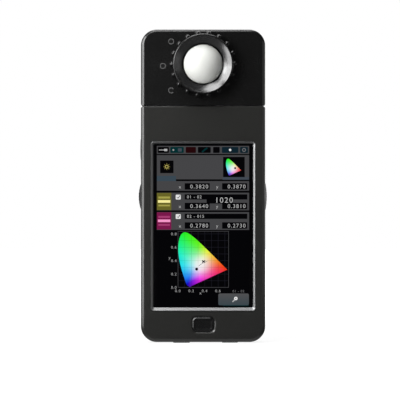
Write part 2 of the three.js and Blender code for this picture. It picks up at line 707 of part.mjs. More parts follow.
// A pocket for a flap in the bottom wall, and the hole to its socket
function flapPocket(offset, width, socketY, hole) {
  const halfWidth = width / 2 + FIT_GAP;
  const halfDepth = FLAP_DEPTH / 2 + FIT_GAP;
  const outline = roundedRectangle(
    offset - halfWidth,
    offset + halfWidth,
    socketY - halfDepth,
    socketY + halfDepth,
    FLAP_CORNER_RADIUS + FIT_GAP,
    FLAP_CORNER_RADIUS + FIT_GAP,
    SMALL_CORNER_STEPS,
  );
  return join(flatOn(outline, -OVERRUN, FLAP_SINK + FIT_GAP), hole);
}

// A plate whose outline lies in the XY plane, from one height to another
function flatOn(outline, low, high) {
  return plate(outline, -high, -low).rotateX(-Math.PI / 2);
}

// A rubber flap, rounded at its corners, with a thinned lip along its front
function flap(offset, width, socketY) {
  const frontY = socketY - FLAP_DEPTH / 2;
  const outline = roundedRectangle(
    offset - width / 2,
    offset + width / 2,
    frontY,
    socketY + FLAP_DEPTH / 2,
    FLAP_CORNER_RADIUS,
    FLAP_CORNER_RADIUS,
    SMALL_CORNER_STEPS,
  );
  const nailSlot = block(
    offset - width / 4,
    offset + width / 4,
    frontY - OVERRUN,
    frontY + FLAP_LIP_DEPTH,
    FLAP_SINK / 2,
    FLAP_SINK + OVERRUN,
  );
  return cut(flatOn(outline, -FLAP_PROUD, FLAP_SINK), nailSlot);
}

// Grooves under a finger, across a plate in the back face
function gripGrooves(halfLength, middleZ) {
  return Array.from({ length: GRIP_GROOVE_COUNT }, (_, number) => {
    const z = middleZ + (number - (GRIP_GROOVE_COUNT - 1) / 2) * GRIP_GROOVE_PITCH;
    return block(
      -halfLength,
      halfLength,
      BACK_Y - GRIP_GROOVE_DEPTH,
      BACK_Y + OVERRUN,
      z - GRIP_GROOVE_WIDTH / 2,
      z + GRIP_GROOVE_WIDTH / 2,
    );
  });
}

// Body covers

function frontCover() {
  const windowHole = roundedPlate(
    TRIM_WIDTH / 2 + KEY_GAP, TRIM_LOW - KEY_GAP, TRIM_HIGH + KEY_GAP,
    TRIM_CORNER_RADIUS + KEY_GAP, FRONT_Y - OVERRUN, FRONT_Y + WALL + OVERRUN,
  );
  const menuHole = plate(menuKeyOutline(KEY_GAP), FRONT_Y - OVERRUN, FRONT_Y + WALL + OVERRUN);
  const menuGroove = loft([
    { y: FRONT_Y - OVERRUN, outline: menuKeyOutline(MENU_GROOVE_WIDTH) },
    { y: FRONT_Y, outline: menuKeyOutline(MENU_GROOVE_WIDTH) },
    { y: FRONT_Y + MENU_GROOVE_DEPTH, outline: menuKeyOutline(MENU_GROOVE_WIDTH / 2) },
  ]);
  const usbHole = block(
    USB_SOCKET_OFFSET - USB_SOCKET_WIDTH / 2,
    USB_SOCKET_OFFSET + USB_SOCKET_WIDTH / 2,
    USB_SOCKET_Y - USB_SOCKET_THICKNESS / 2,
    USB_SOCKET_Y + USB_SOCKET_THICKNESS / 2,
    0,
    WALL + OVERRUN,
  );
  const syncHole = turnedUpright(
    rodProfile(SYNC_SOCKET_RADIUS, 0, WALL + OVERRUN), SMALL_ROUND_STEPS,
  ).translate(SYNC_SOCKET_OFFSET, SYNC_SOCKET_Y, 0);
  return cut(
    frontShell(BODY_HOUSING),
    windowHole,
    menuHole,
    menuGroove,
    sideKeyHole(POWER_KEY_LENGTH, -1, POWER_KEY_Z),
    sideKeyHole(MEASURING_KEY_LENGTH, -1, GRIP_KEY_Z),
    sideKeyHole(MEMORY_KEY_LENGTH, 1, GRIP_KEY_Z),
    flapPocket(USB_SOCKET_OFFSET, USB_FLAP_WIDTH, USB_SOCKET_Y, usbHole),
    flapPocket(SYNC_SOCKET_OFFSET, SYNC_FLAP_WIDTH, SYNC_SOCKET_Y, syncHole),
    neckHole(CAVITY_TOP, BODY_HEIGHT),
  );
}

function rearCover() {
  const bayBox = block(
    -BAY_HALF_WIDTH - BAY_WALL, BAY_HALF_WIDTH + BAY_WALL,
    BAY_FRONT_Y, BACK_Y - WALL / 2,
    BAY_LOW - BAY_WALL, BAY_HIGH + BAY_WALL,
  );
  const baySpace = block(
    -BAY_HALF_WIDTH, BAY_HALF_WIDTH, BAY_FRONT_Y + BAY_WALL, BACK_Y + OVERRUN, BAY_LOW, BAY_HIGH,
  );
  const coverOpening = roundedPlate(
    OPENING_HALF_WIDTH, OPENING_LOW, OPENING_HIGH, COVER_CORNER_RADIUS,
    COVER_FRONT_Y - FIT_GAP, BACK_Y + OVERRUN,
  );
  const latchSlot = roundedPlate(
    LATCH_WIDTH / 2 + KEY_GAP, LATCH_LOW - KEY_GAP, LATCH_SLOT_HIGH - KEY_GAP,
    LATCH_CORNER_RADIUS, BACK_Y - WALL - OVERRUN, BACK_Y + OVERRUN,
  );
  const boss = bar(
    TRIPOD_BOSS_RADIUS, 0, TRIPOD_Z,
    BACK_Y - TRIPOD_NUT_LENGTH - WALL, BACK_Y - WALL / 2, 2 * SMALL_ROUND_STEPS,
  );
  const nutHole = bar(
    TRIPOD_NUT_RADIUS + PRESS_GAP, 0, TRIPOD_Z,
    BACK_Y - TRIPOD_NUT_LENGTH - PRESS_GAP, BACK_Y + OVERRUN, 2 * SMALL_ROUND_STEPS,
  );
  return cut(
    join(rearShell(BODY_HOUSING), bayBox, boss),
    baySpace,
    coverOpening,
    latchSlot,
    nutHole,
    neckHole(CAVITY_TOP, BODY_HEIGHT),
  );
}

addPiece(body, 'front_cover', frontCover(), 'bodyPaint');
addPiece(body, 'rear_cover', rearCover(), 'bodyPaint');
addScrews(body, 'body_screw', BODY_HOUSING);

// Screen: a bright trim frame that slopes down to the glass and has a hidden
// flange, the glass and the display

function screenFrame() {
  const rimFrontY = FRONT_Y - TRIM_PROUD;
  const flangeBackY = BEHIND_FRONT_WALL_Y + TRIM_FLANGE_THICKNESS;
  const rim = roundedPlate(
    TRIM_WIDTH / 2, TRIM_LOW, TRIM_HIGH, TRIM_CORNER_RADIUS, rimFrontY, flangeBackY,
  );
  const flange = roundedPlate(
    TRIM_WIDTH / 2 + TRIM_FLANGE_WIDTH,
    TRIM_LOW - TRIM_FLANGE_WIDTH,
    TRIM_HIGH + TRIM_FLANGE_WIDTH,
    TRIM_CORNER_RADIUS + TRIM_FLANGE_WIDTH,
    BEHIND_FRONT_WALL_Y,
    flangeBackY,
  );
  const brim = roundedRectangle(
    TRIM_LIP_WIDTH - TRIM_WIDTH / 2,
    TRIM_WIDTH / 2 - TRIM_LIP_WIDTH,
    TRIM_LOW + TRIM_LIP_WIDTH,
    TRIM_HIGH - TRIM_LIP_WIDTH,
    TRIM_CORNER_RADIUS - TRIM_LIP_WIDTH,
  );
  const sight = roundedRectangle(
    -GLASS_WIDTH / 2 - PRESS_GAP,
    GLASS_WIDTH / 2 + PRESS_GAP,
    GLASS_LOW - PRESS_GAP,
    GLASS_HIGH + PRESS_GAP,
    GLASS_CORNER_RADIUS,
  );
  const opening = loft([
    { y: rimFrontY - OVERRUN, outline: brim },
    { y: rimFrontY, outline: brim },
    { y: GLASS_FRONT_Y, outline: sight },
    { y: flangeBackY + OVERRUN, outline: sight },
  ]);
  return cut(join(rim, flange), opening);
}

function screenPlate(frontY, thickness) {
  return roundedPlate(
    GLASS_WIDTH / 2, GLASS_LOW, GLASS_HIGH, GLASS_CORNER_RADIUS, frontY, frontY + thickness,
  );
}

addPiece(body, 'screen_frame', screenFrame(), 'brightTrim');
addPiece(body, 'touch_glass', screenPlate(GLASS_FRONT_Y, GLASS_THICKNESS), 'screenGlass');
addPiece(body, 'lcd_panel', screenPlate(LCD_FRONT_Y, LCD_THICKNESS), 'lcdPlate');

// Main board, notched at its corners round the four bosses
function mainBoard() {
  const halfWidth = WALL_INSIDE_X - BOARD_SIDE_GAP;
  const [[, bossLow], , [, bossHigh]] = bossPlaces(BODY_HOUSING);
  const notchHalfWidth = HALF_WIDTH - BOSS_INSET - BOSS_RADIUS - FIT_GAP;
  const notchLow = bossLow + BOSS_RADIUS + FIT_GAP;
  const notchHigh = bossHigh - BOSS_RADIUS - FIT_GAP;
  const low = WALL + FIT_GAP;
  const high = NECK_FLANGE_LOW - FIT_GAP;
  const rightSide = [
    [notchHalfWidth, low], [notchHalfWidth, notchLow], [halfWidth, notchLow],
    [halfWidth, notchHigh], [notchHalfWidth, notchHigh], [notchHalfWidth, high],
  ];
  const leftSide = rightSide.map(([x, z]) => [-x, z]).reverse();
  const outline = [...rightSide, ...leftSide].map(([x, z]) => new THREE.Vector2(x, z));
  return plate(outline, BOARD_FRONT_Y, BOARD_BACK_Y);
}

const SHIELD_LOW = BAY_HIGH + BAY_WALL + SHIELD_CORNER_RADIUS;
const shield = roundedPlate(
  SHIELD_WIDTH / 2, SHIELD_LOW, SHIELD_LOW + SHIELD_HEIGHT, SHIELD_CORNER_RADIUS,
  BOARD_BACK_Y + FIT_GAP, BOARD_BACK_Y + FIT_GAP + SHIELD_THICKNESS,
);
addPiece(body, 'main_board', mainBoard(), 'boardLaminate');
addPiece(body, 'processor_shield', shield, 'tinPlate');

// Buttons and their switches

const menuSwitchFrontY = MENU_FLANGE_BACK_Y + MENU_KEY_TRAVEL + FIT_GAP;
const menuKey = join(
  plate(menuKeyOutline(0), FRONT_Y, MENU_FLANGE_BACK_Y),
  plate(menuKeyOutline(KEY_FLANGE_WIDTH), BEHIND_FRONT_WALL_Y, MENU_FLANGE_BACK_Y),
);
const menuSwitch = bar(
  SWITCH_SIZE / 2, 0, MENU_KEY_CENTRE_HEIGHT, menuSwitchFrontY, BOARD_FRONT_Y - FIT_GAP,
);
addPiece(body, 'menu_button', menuKey, 'keyRubber');
addPiece(body, 'menu_switch', menuSwitch, 'tinPlate');

const SIDE_KEYS = [
  ['power', POWER_KEY_LENGTH, POWER_KEY_PROUD, -1, POWER_KEY_Z],
  ['measuring', MEASURING_KEY_LENGTH, MEASURING_KEY_PROUD, -1, GRIP_KEY_Z],
  ['memory', MEMORY_KEY_LENGTH, MEMORY_KEY_PROUD, 1, GRIP_KEY_Z],
];
SIDE_KEYS.forEach(([name, length, proud, side, z]) => {
  addPiece(body, `${name}_button`, onSide(sideKey(length, proud), side, z), 'keyRubber');
  addPiece(body, `${name}_switch`, onSide(sideSwitch(), side, z), 'blackPlastic');
});

// Sockets: shells that open downwards, behind the bottom wall

const usbShell = block(
  USB_SOCKET_OFFSET - USB_SOCKET_WIDTH / 2,
  USB_SOCKET_OFFSET + USB_SOCKET_WIDTH / 2,
  USB_SOCKET_Y - USB_SOCKET_THICKNESS / 2,
  USB_SOCKET_Y + USB_SOCKET_THICKNESS / 2,
  SOCKET_LOW,
  SOCKET_LOW + USB_SOCKET_LENGTH,
);
const usbMouth = block(
  USB_SOCKET_OFFSET - USB_SOCKET_WIDTH / 2 + SOCKET_WALL,
  USB_SOCKET_OFFSET + USB_SOCKET_WIDTH / 2 - SOCKET_WALL,
  USB_SOCKET_Y - USB_SOCKET_THICKNESS / 2 + SOCKET_WALL,
  USB_SOCKET_Y + USB_SOCKET_THICKNESS / 2 - SOCKET_WALL,
  SOCKET_LOW - OVERRUN,
  SOCKET_LOW + USB_SOCKET_LENGTH - SOCKET_FLOOR,
);
const syncFloor = SOCKET_LOW + SYNC_SOCKET_LENGTH - SOCKET_FLOOR;
const syncShell = turnedUpright([
  [0, SOCKET_LOW + SOCKET_FLOOR],
  [SYNC_PIN_RADIUS, SOCKET_LOW + SOCKET_FLOOR],
  [SYNC_PIN_RADIUS, syncFloor],
  [SYNC_SOCKET_RADIUS - SOCKET_WALL, syncFloor],
  [SYNC_SOCKET_RADIUS - SOCKET_WALL, SOCKET_LOW],
  [SYNC_SOCKET_RADIUS, SOCKET_LOW],
  [SYNC_SOCKET_RADIUS, SOCKET_LOW + SYNC_SOCKET_LENGTH],
  [0, SOCKET_LOW + SYNC_SOCKET_LENGTH],
], SMALL_ROUND_STEPS).translate(SYNC_SOCKET_OFFSET, SYNC_SOCKET_Y, 0);
addPiece(body, 'usb_socket', cut(usbShell, usbMouth), 'tinPlate');
addPiece(body, 'sync_socket', syncShell, 'brass');
addPiece(body, 'usb_cover', flap(USB_SOCKET_OFFSET, USB_FLAP_WIDTH, USB_SOCKET_Y), 'softRubber');
addPiece(body, 'sync_cover', flap(SYNC_SOCKET_OFFSET, SYNC_FLAP_WIDTH, SYNC_SOCKET_Y), 'softRubber');

// Battery cells, contacts, cover and latch

function batteryCell() {
  const radius = CELL_DIAMETER / 2;
  const shoulder = CELL_LENGTH - CELL_NUB_HEIGHT;
  return turnedUpright([
    [0, 0],
    [radius - CELL_EDGE_RADIUS, 0],
    [radius, CELL_EDGE_RADIUS],
    [radius, shoulder - CELL_EDGE_RADIUS],
    [radius - CELL_EDGE_RADIUS, shoulder],
    [CELL_NUB_RADIUS, shoulder],
    [CELL_NUB_RADIUS, CELL_LENGTH],
    [0, CELL_LENGTH],
  ], CELL_STEPS);
}

// The left cell stands on the spring, and its nub meets the bridge above
const rightCell = batteryCell().rotateX(Math.PI).translate(CELL_X, CELL_Y, CELL_HIGH - SPRING_LENGTH);
addPiece(body, 'battery_cell_left', batteryCell().translate(-CELL_X, CELL_Y, CELL_LOW), 'cellJacket');
addPiece(body, 'battery_cell_right', rightCell, 'cellJacket');

// A sheet contact with a coned spring that stands up from it, or a bare one
function batteryContact(withSpring) {
  const half = CONTACT_WIDTH / 2;
  const sheet = block(-half, half, -CONTACT_HEIGHT / 2, CONTACT_HEIGHT / 2, 0, CONTACT_THICKNESS);
  if (!withSpring) {
    return solidOf(sheet);
  }
  const rise = SPRING_LENGTH - SPRING_WIRE_RADIUS;
  const spring = coil(
    SPRING_WIDE_RADIUS, SPRING_NARROW_RADIUS, rise, SPRING_TURNS, SPRING_WIRE_RADIUS,
  ).translate(0, 0, CONTACT_THICKNESS);
  return join(sheet, spring);
}

const bridge = block(
  -CELL_X - CONTACT_WIDTH / 2, CELL_X + CONTACT_WIDTH / 2,
  CELL_Y - CONTACT_HEIGHT / 2, CELL_Y + CONTACT_HEIGHT / 2,
  CELL_HIGH + FIT_GAP, CELL_HIGH + FIT_GAP + CONTACT_THICKNESS,
);
const bridgeSpring = coil(
  SPRING_WIDE_RADIUS, SPRING_NARROW_RADIUS, SPRING_LENGTH - SPRING_WIRE_RADIUS,
  SPRING_TURNS, SPRING_WIRE_RADIUS,
).rotateX(Math.PI).translate(CELL_X, CELL_Y, CELL_HIGH + FIT_GAP);
addPiece(
  body, 'battery_contact_left',
  batteryContact(true).translate([-CELL_X, CELL_Y, BAY_LOW + FIT_GAP]), 'steel',
);
addPiece(
  body, 'battery_contact_right',
  batteryContact(false).translate([CELL_X, CELL_Y, BAY_LOW + FIT_GAP]), 'steel',
);
addPiece(body, 'battery_bridge', join(bridge, bridgeSpring), 'steel');

const batteryCover = cut(
  roundedPlate(
    OPENING_HALF_WIDTH - FIT_GAP, OPENING_LOW + FIT_GAP, OPENING_HIGH - FIT_GAP,
    COVER_CORNER_RADIUS - FIT_GAP, COVER_FRONT_Y, BACK_Y,
  ),
  ...gripGrooves(COVER_GRIP_LENGTH / 2, OPENING_HIGH - COVER_GRIP_DROP),
);
addPiece(body, 'battery_cover', batteryCover, 'bodyPaint');

const latchFlangeBackY = BACK_Y - WALL - FIT_GAP;
const batteryLatch = cut(
  join(
    roundedPlate(
      LATCH_WIDTH / 2, LATCH_LOW, LATCH_LOW + LATCH_HEIGHT, LATCH_CORNER_RADIUS - KEY_GAP,
      latchFlangeBackY - KEY_FLANGE_THICKNESS, BACK_Y,
    ),
    roundedPlate(
      LATCH_WIDTH / 2 + KEY_FLANGE_WIDTH, LATCH_LOW - KEY_FLANGE_WIDTH,
      LATCH_LOW + LATCH_HEIGHT + KEY_FLANGE_WIDTH, LATCH_CORNER_RADIUS,
      latchFlangeBackY - KEY_FLANGE_THICKNESS, latchFlangeBackY,
    ),
  ),
  ...gripGrooves(LATCH_WIDTH / 2 - KEY_FLANGE_WIDTH, LATCH_LOW + LATCH_HEIGHT / 2),
);
addPiece(body, 'battery_latch', batteryLatch, 'blackPlastic');

// Tripod nut in its boss
const tripodNut = turned(
  tubeProfile(TRIPOD_BORE_RADIUS, TRIPOD_NUT_RADIUS, BACK_Y - TRIPOD_NUT_LENGTH, BACK_Y),
  2 * SMALL_ROUND_STEPS,
).translate(0, 0, TRIPOD_Z);
addPiece(body, 'tripod_nut', tripodNut, 'brass');

// Neck: a flanged tube that stands in the top of the body, and the clip that
// keeps the head on it

const neckTube = turnedUpright([
  [NECK_RADIUS - NECK_WALL, NECK_FLANGE_LOW],
  [NECK_FLANGE_RADIUS, NECK_FLANGE_LOW],
  [NECK_FLANGE_RADIUS, NECK_FLANGE_HIGH],
  [NECK_RADIUS, NECK_FLANGE_HIGH],
  [NECK_RADIUS, NECK_TOP],
  [NECK_RADIUS - NECK_WALL, NECK_TOP],
  [NECK_RADIUS - NECK_WALL, NECK_FLANGE_LOW],
], HIDDEN_RING_STEPS);
const neckClip = turnedUpright(
  tubeProfile(
    NECK_RADIUS + PRESS_GAP, NECK_FLANGE_RADIUS, NECK_CLIP_LOW, NECK_CLIP_LOW + NECK_CLIP_THICKNESS,
  ),
  HIDDEN_RING_STEPS,
);
addPiece(body, 'neck_tube', neckTube, 'darkAnodised');
addPiece(body, 'neck_clip', neckClip, 'steel');

const cableSocket = block(
  -CABLE_SOCKET_WIDTH / 2, CABLE_SOCKET_WIDTH / 2,
  BOARD_BACK_Y + FIT_GAP, CABLE_SOCKET_REACH,
  CABLE_LOW - FIT_GAP - CABLE_SOCKET_HEIGHT, CABLE_LOW - FIT_GAP,
);
addPiece(body, 'cable_socket', cableSocket, 'blackPlastic');

// Head covers

const OPTICS_LOW = RECEPTOR_HEIGHT - OPTICS_HALF_HEIGHT;
const POST_PLACES = [-1, 1].flatMap((sideX) => [-1, 1].map((sideZ) => [
  sideX * (OPTICS_HALF_WIDTH - POST_INSET),
  RECEPTOR_HEIGHT + sideZ * (OPTICS_HALF_HEIGHT - POST_INSET),
]));

function headFrontCover() {
  const bore = bar(
    BEARING_RADIUS + PRESS_GAP, 0, RECEPTOR_HEIGHT, FRONT_Y - OVERRUN, FRONT_Y + WALL + OVERRUN,
    HIDDEN_RING_STEPS,
  );
  const posts = POST_PLACES.map(([x, z]) => bar(
    POST_RADIUS, x, z, FRONT_Y + WALL / 2, FRONT_Y + OPTICS_FRONT - FIT_GAP,
  ));
  return cut(join(frontShell(HEAD_HOUSING), ...posts), bore, neckHole(0, WALL));
}

addPiece(head, 'head_front_cover', headFrontCover(), 'headPaint');
addPiece(head, 'head_rear_cover', cut(rearShell(HEAD_HOUSING), neckHole(0, WALL)), 'headPaint');
addScrews(head, 'head_screw', HEAD_HOUSING);

// Optics block: an open-backed tray with a light tunnel and a detent pocket

const detentFront = SLIT_FRONT;
const detentBallBack = detentFront + 2 * DETENT_BALL_RADIUS;
const detentPocketBack = detentBallBack + PRESS_GAP + DETENT_SPRING_LENGTH + 2 * DETENT_WIRE_RADIUS
  + PRESS_GAP;

function opticsBlock() {
  const tray = block(
    -OPTICS_HALF_WIDTH, OPTICS_HALF_WIDTH, OPTICS_FRONT, OPTICS_BACK,
    -OPTICS_HALF_HEIGHT, OPTICS_HALF_HEIGHT,
  );
  const inside = block(
    OPTICS_WALL - OPTICS_HALF_WIDTH, OPTICS_HALF_WIDTH - OPTICS_WALL,
    OPTICS_INSIDE, OPTICS_BACK + OVERRUN,
    OPTICS_WALL - OPTICS_HALF_HEIGHT, OPTICS_HALF_HEIGHT - OPTICS_WALL,
  );
  const tunnel = bar(
    LIGHT_TUNNEL_RADIUS, 0, APERTURE_OFFSET, OPTICS_FRONT - OVERRUN, OPTICS_INSIDE + OVERRUN,
  );
  const pocket = bar(
    DETENT_BALL_RADIUS + PRESS_GAP, 0, -DIMPLE_OFFSET, OPTICS_FRONT - OVERRUN, detentPocketBack,
  );
  return cut(tray, inside, tunnel, pocket);
}

const slitPlate = cut(
  block(
    -SLIT_PLATE_SIZE / 2, SLIT_PLATE_SIZE / 2,
    SLIT_FRONT, SLIT_FRONT + SLIT_PLATE_THICKNESS,
    APERTURE_OFFSET - SLIT_PLATE_SIZE / 2, APERTURE_OFFSET + SLIT_PLATE_SIZE / 2,
  ),
  block(
    -SLIT_WIDTH / 2, SLIT_WIDTH / 2,
    SLIT_FRONT - OVERRUN, SLIT_FRONT + SLIT_PLATE_THICKNESS + OVERRUN,
    APERTURE_OFFSET - SLIT_LENGTH / 2, APERTURE_OFFSET + SLIT_LENGTH / 2,
  ),
);

// Concave grating on the sensor board, facing the slit
const mirrorBack = OPTICS_BACK;
const mirrorFront = mirrorBack - MIRROR_THICKNESS;
const mirrorCurve = Array.from({ length: MIRROR_RINGS + 1 }, (_, step) => {
  const share = step / MIRROR_RINGS;
  return [share * MIRROR_RADIUS, mirrorFront + MIRROR_HOLLOW * (1 - share * share)];
});
const gratingMirror = turned(
  [...mirrorCurve, [MIRROR_RADIUS, mirrorBack], [0, mirrorBack]], MIRROR_STEPS,
);
const lineSensor = block(
  LINE_SENSOR_OFFSET - LINE_SENSOR_WIDTH / 2, LINE_SENSOR_OFFSET + LINE_SENSOR_WIDTH / 2,
  OPTICS_INSIDE + FIT_GAP, OPTICS_INSIDE + FIT_GAP + LINE_SENSOR_THICKNESS,
  -LINE_SENSOR_LENGTH / 2, LINE_SENSOR_LENGTH / 2,
);
const sensorBoard = block(
  -OPTICS_HALF_WIDTH, OPTICS_HALF_WIDTH,
  OPTICS_BACK + FIT_GAP, OPTICS_BACK + FIT_GAP + SENSOR_BOARD_THICKNESS,
  -OPTICS_HALF_HEIGHT, OPTICS_HALF_HEIGHT,
);
addPiece(receptor, 'optics_block', opticsBlock(), 'darkAnodised');
addPiece(receptor, 'entrance_slit', slitPlate, 'steel');
addPiece(receptor, 'grating_mirror', gratingMirror, 'gratingGlass');
addPiece(receptor, 'line_sensor', lineSensor, 'sensorCeramic');
addPiece(receptor, 'sensor_board', sensorBoard, 'boardLaminate');

// Cable to the main board, on the swivel axis through the neck
const headCable = turnedUpright(
  rodProfile(CABLE_RADIUS, CABLE_LOW - HEAD_BASE_Z, OPTICS_LOW - FIT_GAP), SMALL_ROUND_STEPS,
);
addPiece(head, 'head_cable', headCable, 'cableJacket');

// Bearing of the selector ring in the head cover
const ringBearing = turned([
  [BEARING_BORE_RADIUS, 0],
  [BEARING_RADIUS, 0],
  [BEARING_RADIUS, WALL + FIT_GAP],
  [BEARING_RADIUS + BEARING_FLANGE_WIDTH, WALL + FIT_GAP],
  [BEARING_RADIUS + BEARING_FLANGE_WIDTH, BEARING_BACK],
  [BEARING_BORE_RADIUS, BEARING_BACK],
  [BEARING_BORE_RADIUS, 0],
], HIDDEN_RING_STEPS);
addPiece(receptor, 'ring_bearing', ringBearing, 'blackPlastic');

// Detent: a ball in a pocket of the optics block, pressed forward by a spring
const detentBall = turned(
  arcPoints(DETENT_BALL_RADIUS, detentFront + DETENT_BALL_RADIUS, 0, Math.PI, DETENT_BALL_STEPS),
  2 * DETENT_BALL_STEPS,
).translate(0, 0, -DIMPLE_OFFSET);
const detentSpring = coil(
  DETENT_COIL_RADIUS, DETENT_COIL_RADIUS, DETENT_SPRING_LENGTH, DETENT_SPRING_TURNS, DETENT_WIRE_RADIUS,
).rotateX(-Math.PI / 2).translate(0, detentBallBack + PRESS_GAP + DETENT_WIRE_RADIUS, -DIMPLE_OFFSET);
addPiece(receptor, 'detent_ball', detentBall, 'steel');
addPiece(receptor, 'detent_spring', detentSpring, 'steel');

// Selector ring: a concave dish, a hollow back, a tail that turns in the
// bearing, and grip lobes round its side

function dishDepthAt(radius) {
  const share = (radius - RING_BORE_RADIUS) / (DISH_RADIUS - RING_BORE_RADIUS);
  return DISH_FLOOR - share * DISH_DEPTH;
}

function selectorRing() {
  const hollowRadius = RING_RADIUS - RING_RIM_WIDTH - DISH_WALL / 2;
  const coreRadius = RING_BORE_RADIUS + RING_CORE_WALL;
  const core = turned([
    [RING_BORE_RADIUS, DISH_FLOOR],
    [DISH_RADIUS, -RING_HEIGHT],
    [RING_RADIUS - RING_RIM_BEVEL, -RING_HEIGHT],
    [RING_RADIUS, -RING_HEIGHT + RING_RIM_BEVEL],
    [RING_RADIUS, RING_BACK],
    [hollowRadius, RING_BACK],
    [hollowRadius, dishDepthAt(hollowRadius) + DISH_WALL],
    [coreRadius, dishDepthAt(coreRadius) + DISH_WALL],
    [coreRadius, RING_BACK],
    [TAIL_RADIUS, RING_BACK],
    [TAIL_RADIUS, TAIL_BACK],
    [RING_BORE_RADIUS, TAIL_BACK],
    [RING_BORE_RADIUS, DISH_FLOOR],
  ], RING_STEPS);
  const tipY = -RING_HEIGHT + LOBE_SETBACK;
  const lobe = turned([
    ...arcPoints(LOBE_RADIUS, tipY + LOBE_RADIUS, 0, Math.PI / 2, LOBE_TIP_STEPS),
    [LOBE_RADIUS, RING_BACK],
    [0, RING_BACK],
  ], LOBE_SIDES);
  const lobes = Array.from({ length: LOBE_COUNT }, (_, number) => {
    const angle = (number / LOBE_COUNT) * 2 * Math.PI;
    return lobe.clone().translate(RING_RADIUS + LOBE_REACH, 0, 0).rotateY(angle);
  });
  const lobeCrown = join(...lobes);
  const hollow = turned(
    tubeProfile(coreRadius, hollowRadius, dishDepthAt(coreRadius) + DISH_WALL, RING_BACK + OVERRUN),
    RING_STEPS,
  );
  return join(core, cut(lobeCrown, hollow));
}

// Dome seat, glued into the bore of the ring, and the opal dome on it
const seatRadius = RING_BORE_RADIUS - PRESS_GAP;
const seatFront = DISH_FLOOR + DOME_SKIRT + FIT_GAP;
const domeSeat = turned(
  tubeProfile(seatRadius - SEAT_WALL, seatRadius, seatFront, TAIL_BACK), HIDDEN_RING_STEPS,
);

function diffuserDome() {
  const outerRadius = (DOME_RADIUS * DOME_RADIUS + DOME_HEIGHT * DOME_HEIGHT) / (2 * DOME_HEIGHT);
  const centre = DISH_FLOOR - DOME_HEIGHT + outerRadius;
  const innerRadius = outerRadius - DOME_WALL;
  const boreRadius = DOME_RADIUS - DOME_WALL;
  const outerEdge = Math.asin(DOME_RADIUS / outerRadius);
  const innerEdge = Math.asin(boreRadius / innerRadius);
  return turned([
    ...arcPoints(outerRadius, centre, 0, outerEdge, DOME_STEPS),
    [DOME_RADIUS, DISH_FLOOR + DOME_SKIRT],
    [boreRadius, DISH_FLOOR + DOME_SKIRT],
    ...arcPoints(innerRadius, centre, innerEdge, 0, DOME_STEPS),
  ], HIDDEN_RING_STEPS);
}

// Selector disc behind the bearing: one open, one narrow and one blank
// position at the height of the slit, and three dimples for the detent ball
function selectorDisc() {
  const disc = turned(rodProfile(DISC_RADIUS, DISC_FRONT, DISC_BACK), HIDDEN_RING_STEPS);
  const apertures = [[WIDE_APERTURE_RADIUS, 0], [NARROW_APERTURE_RADIUS, SELECTOR_STEP]].map(
    ([radius, angle]) => bar(radius, 0, APERTURE_OFFSET, DISC_FRONT - OVERRUN, DISC_BACK + OVERRUN)
      .rotateY(angle),
  );
  const dimples = [-SELECTOR_STEP, 0, SELECTOR_STEP].map(
    (angle) => bar(DIMPLE_RADIUS, 0, -DIMPLE_OFFSET, DISC_BACK - DIMPLE_DEPTH, DISC_BACK + OVERRUN)
      .rotateY(angle),
  );
  return cut(disc, ...apertures, ...dimples);
}

addPiece(receptor, 'selector_ring', selectorRing(), 'ringMetal');
addPiece(receptor, 'dome_seat', domeSeat, 'blackPlastic');
addPiece(receptor, 'diffuser_dome', diffuserDome(), 'opalDome');
addPiece(receptor, 'selector_disc', selectorDisc(), 'darkAnodised');

export default spectrometer;
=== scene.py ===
"""Looks of a handheld light spectrometer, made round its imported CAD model.

Lengths are millimetres, as in the CAD source, and become metres where a mesh
is made. X runs to the right of the reader, the screen and the dome face -Y,
and Z is up.
"""
import logging
import math
from dataclasses import dataclass, field
from enum import Enum

import bmesh
import bpy
import numpy as np
from mathutils import Matrix, Vector


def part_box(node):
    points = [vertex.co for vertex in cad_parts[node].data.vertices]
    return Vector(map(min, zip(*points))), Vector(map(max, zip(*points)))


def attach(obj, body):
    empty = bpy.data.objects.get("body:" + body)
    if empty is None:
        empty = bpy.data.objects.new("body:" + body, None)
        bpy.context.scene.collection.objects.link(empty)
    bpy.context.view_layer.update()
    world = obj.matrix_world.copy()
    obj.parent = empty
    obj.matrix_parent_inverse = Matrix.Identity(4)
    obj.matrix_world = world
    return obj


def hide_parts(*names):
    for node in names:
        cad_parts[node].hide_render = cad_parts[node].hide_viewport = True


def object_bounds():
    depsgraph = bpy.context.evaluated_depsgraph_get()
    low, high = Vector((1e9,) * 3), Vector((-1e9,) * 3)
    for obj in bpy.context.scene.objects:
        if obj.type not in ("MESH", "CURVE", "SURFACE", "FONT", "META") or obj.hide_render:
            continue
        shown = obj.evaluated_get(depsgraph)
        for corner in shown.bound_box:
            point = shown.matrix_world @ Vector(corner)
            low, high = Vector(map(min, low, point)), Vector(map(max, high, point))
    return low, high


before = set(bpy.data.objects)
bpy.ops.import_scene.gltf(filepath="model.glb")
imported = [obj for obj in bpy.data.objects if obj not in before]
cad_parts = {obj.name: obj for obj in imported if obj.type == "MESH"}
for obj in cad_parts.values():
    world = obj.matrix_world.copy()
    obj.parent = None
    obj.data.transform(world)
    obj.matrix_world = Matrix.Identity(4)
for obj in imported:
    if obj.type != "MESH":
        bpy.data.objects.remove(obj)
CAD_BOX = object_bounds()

Mesh = bpy.types.Mesh
Socket = bpy.types.NodeSocket
LOG = logging.getLogger("spectrometer")
MM = 0.001  # metres in a millimetre
MERGE_DISTANCE = 1e-7  # metres between points that are one point
SHARP_ANGLE = 32.0  # degrees between two faces past which their edge stays sharp
OVERRUN = 1.0  # how far a cutter runs past the face that it cuts
CORNER_STEPS = 16


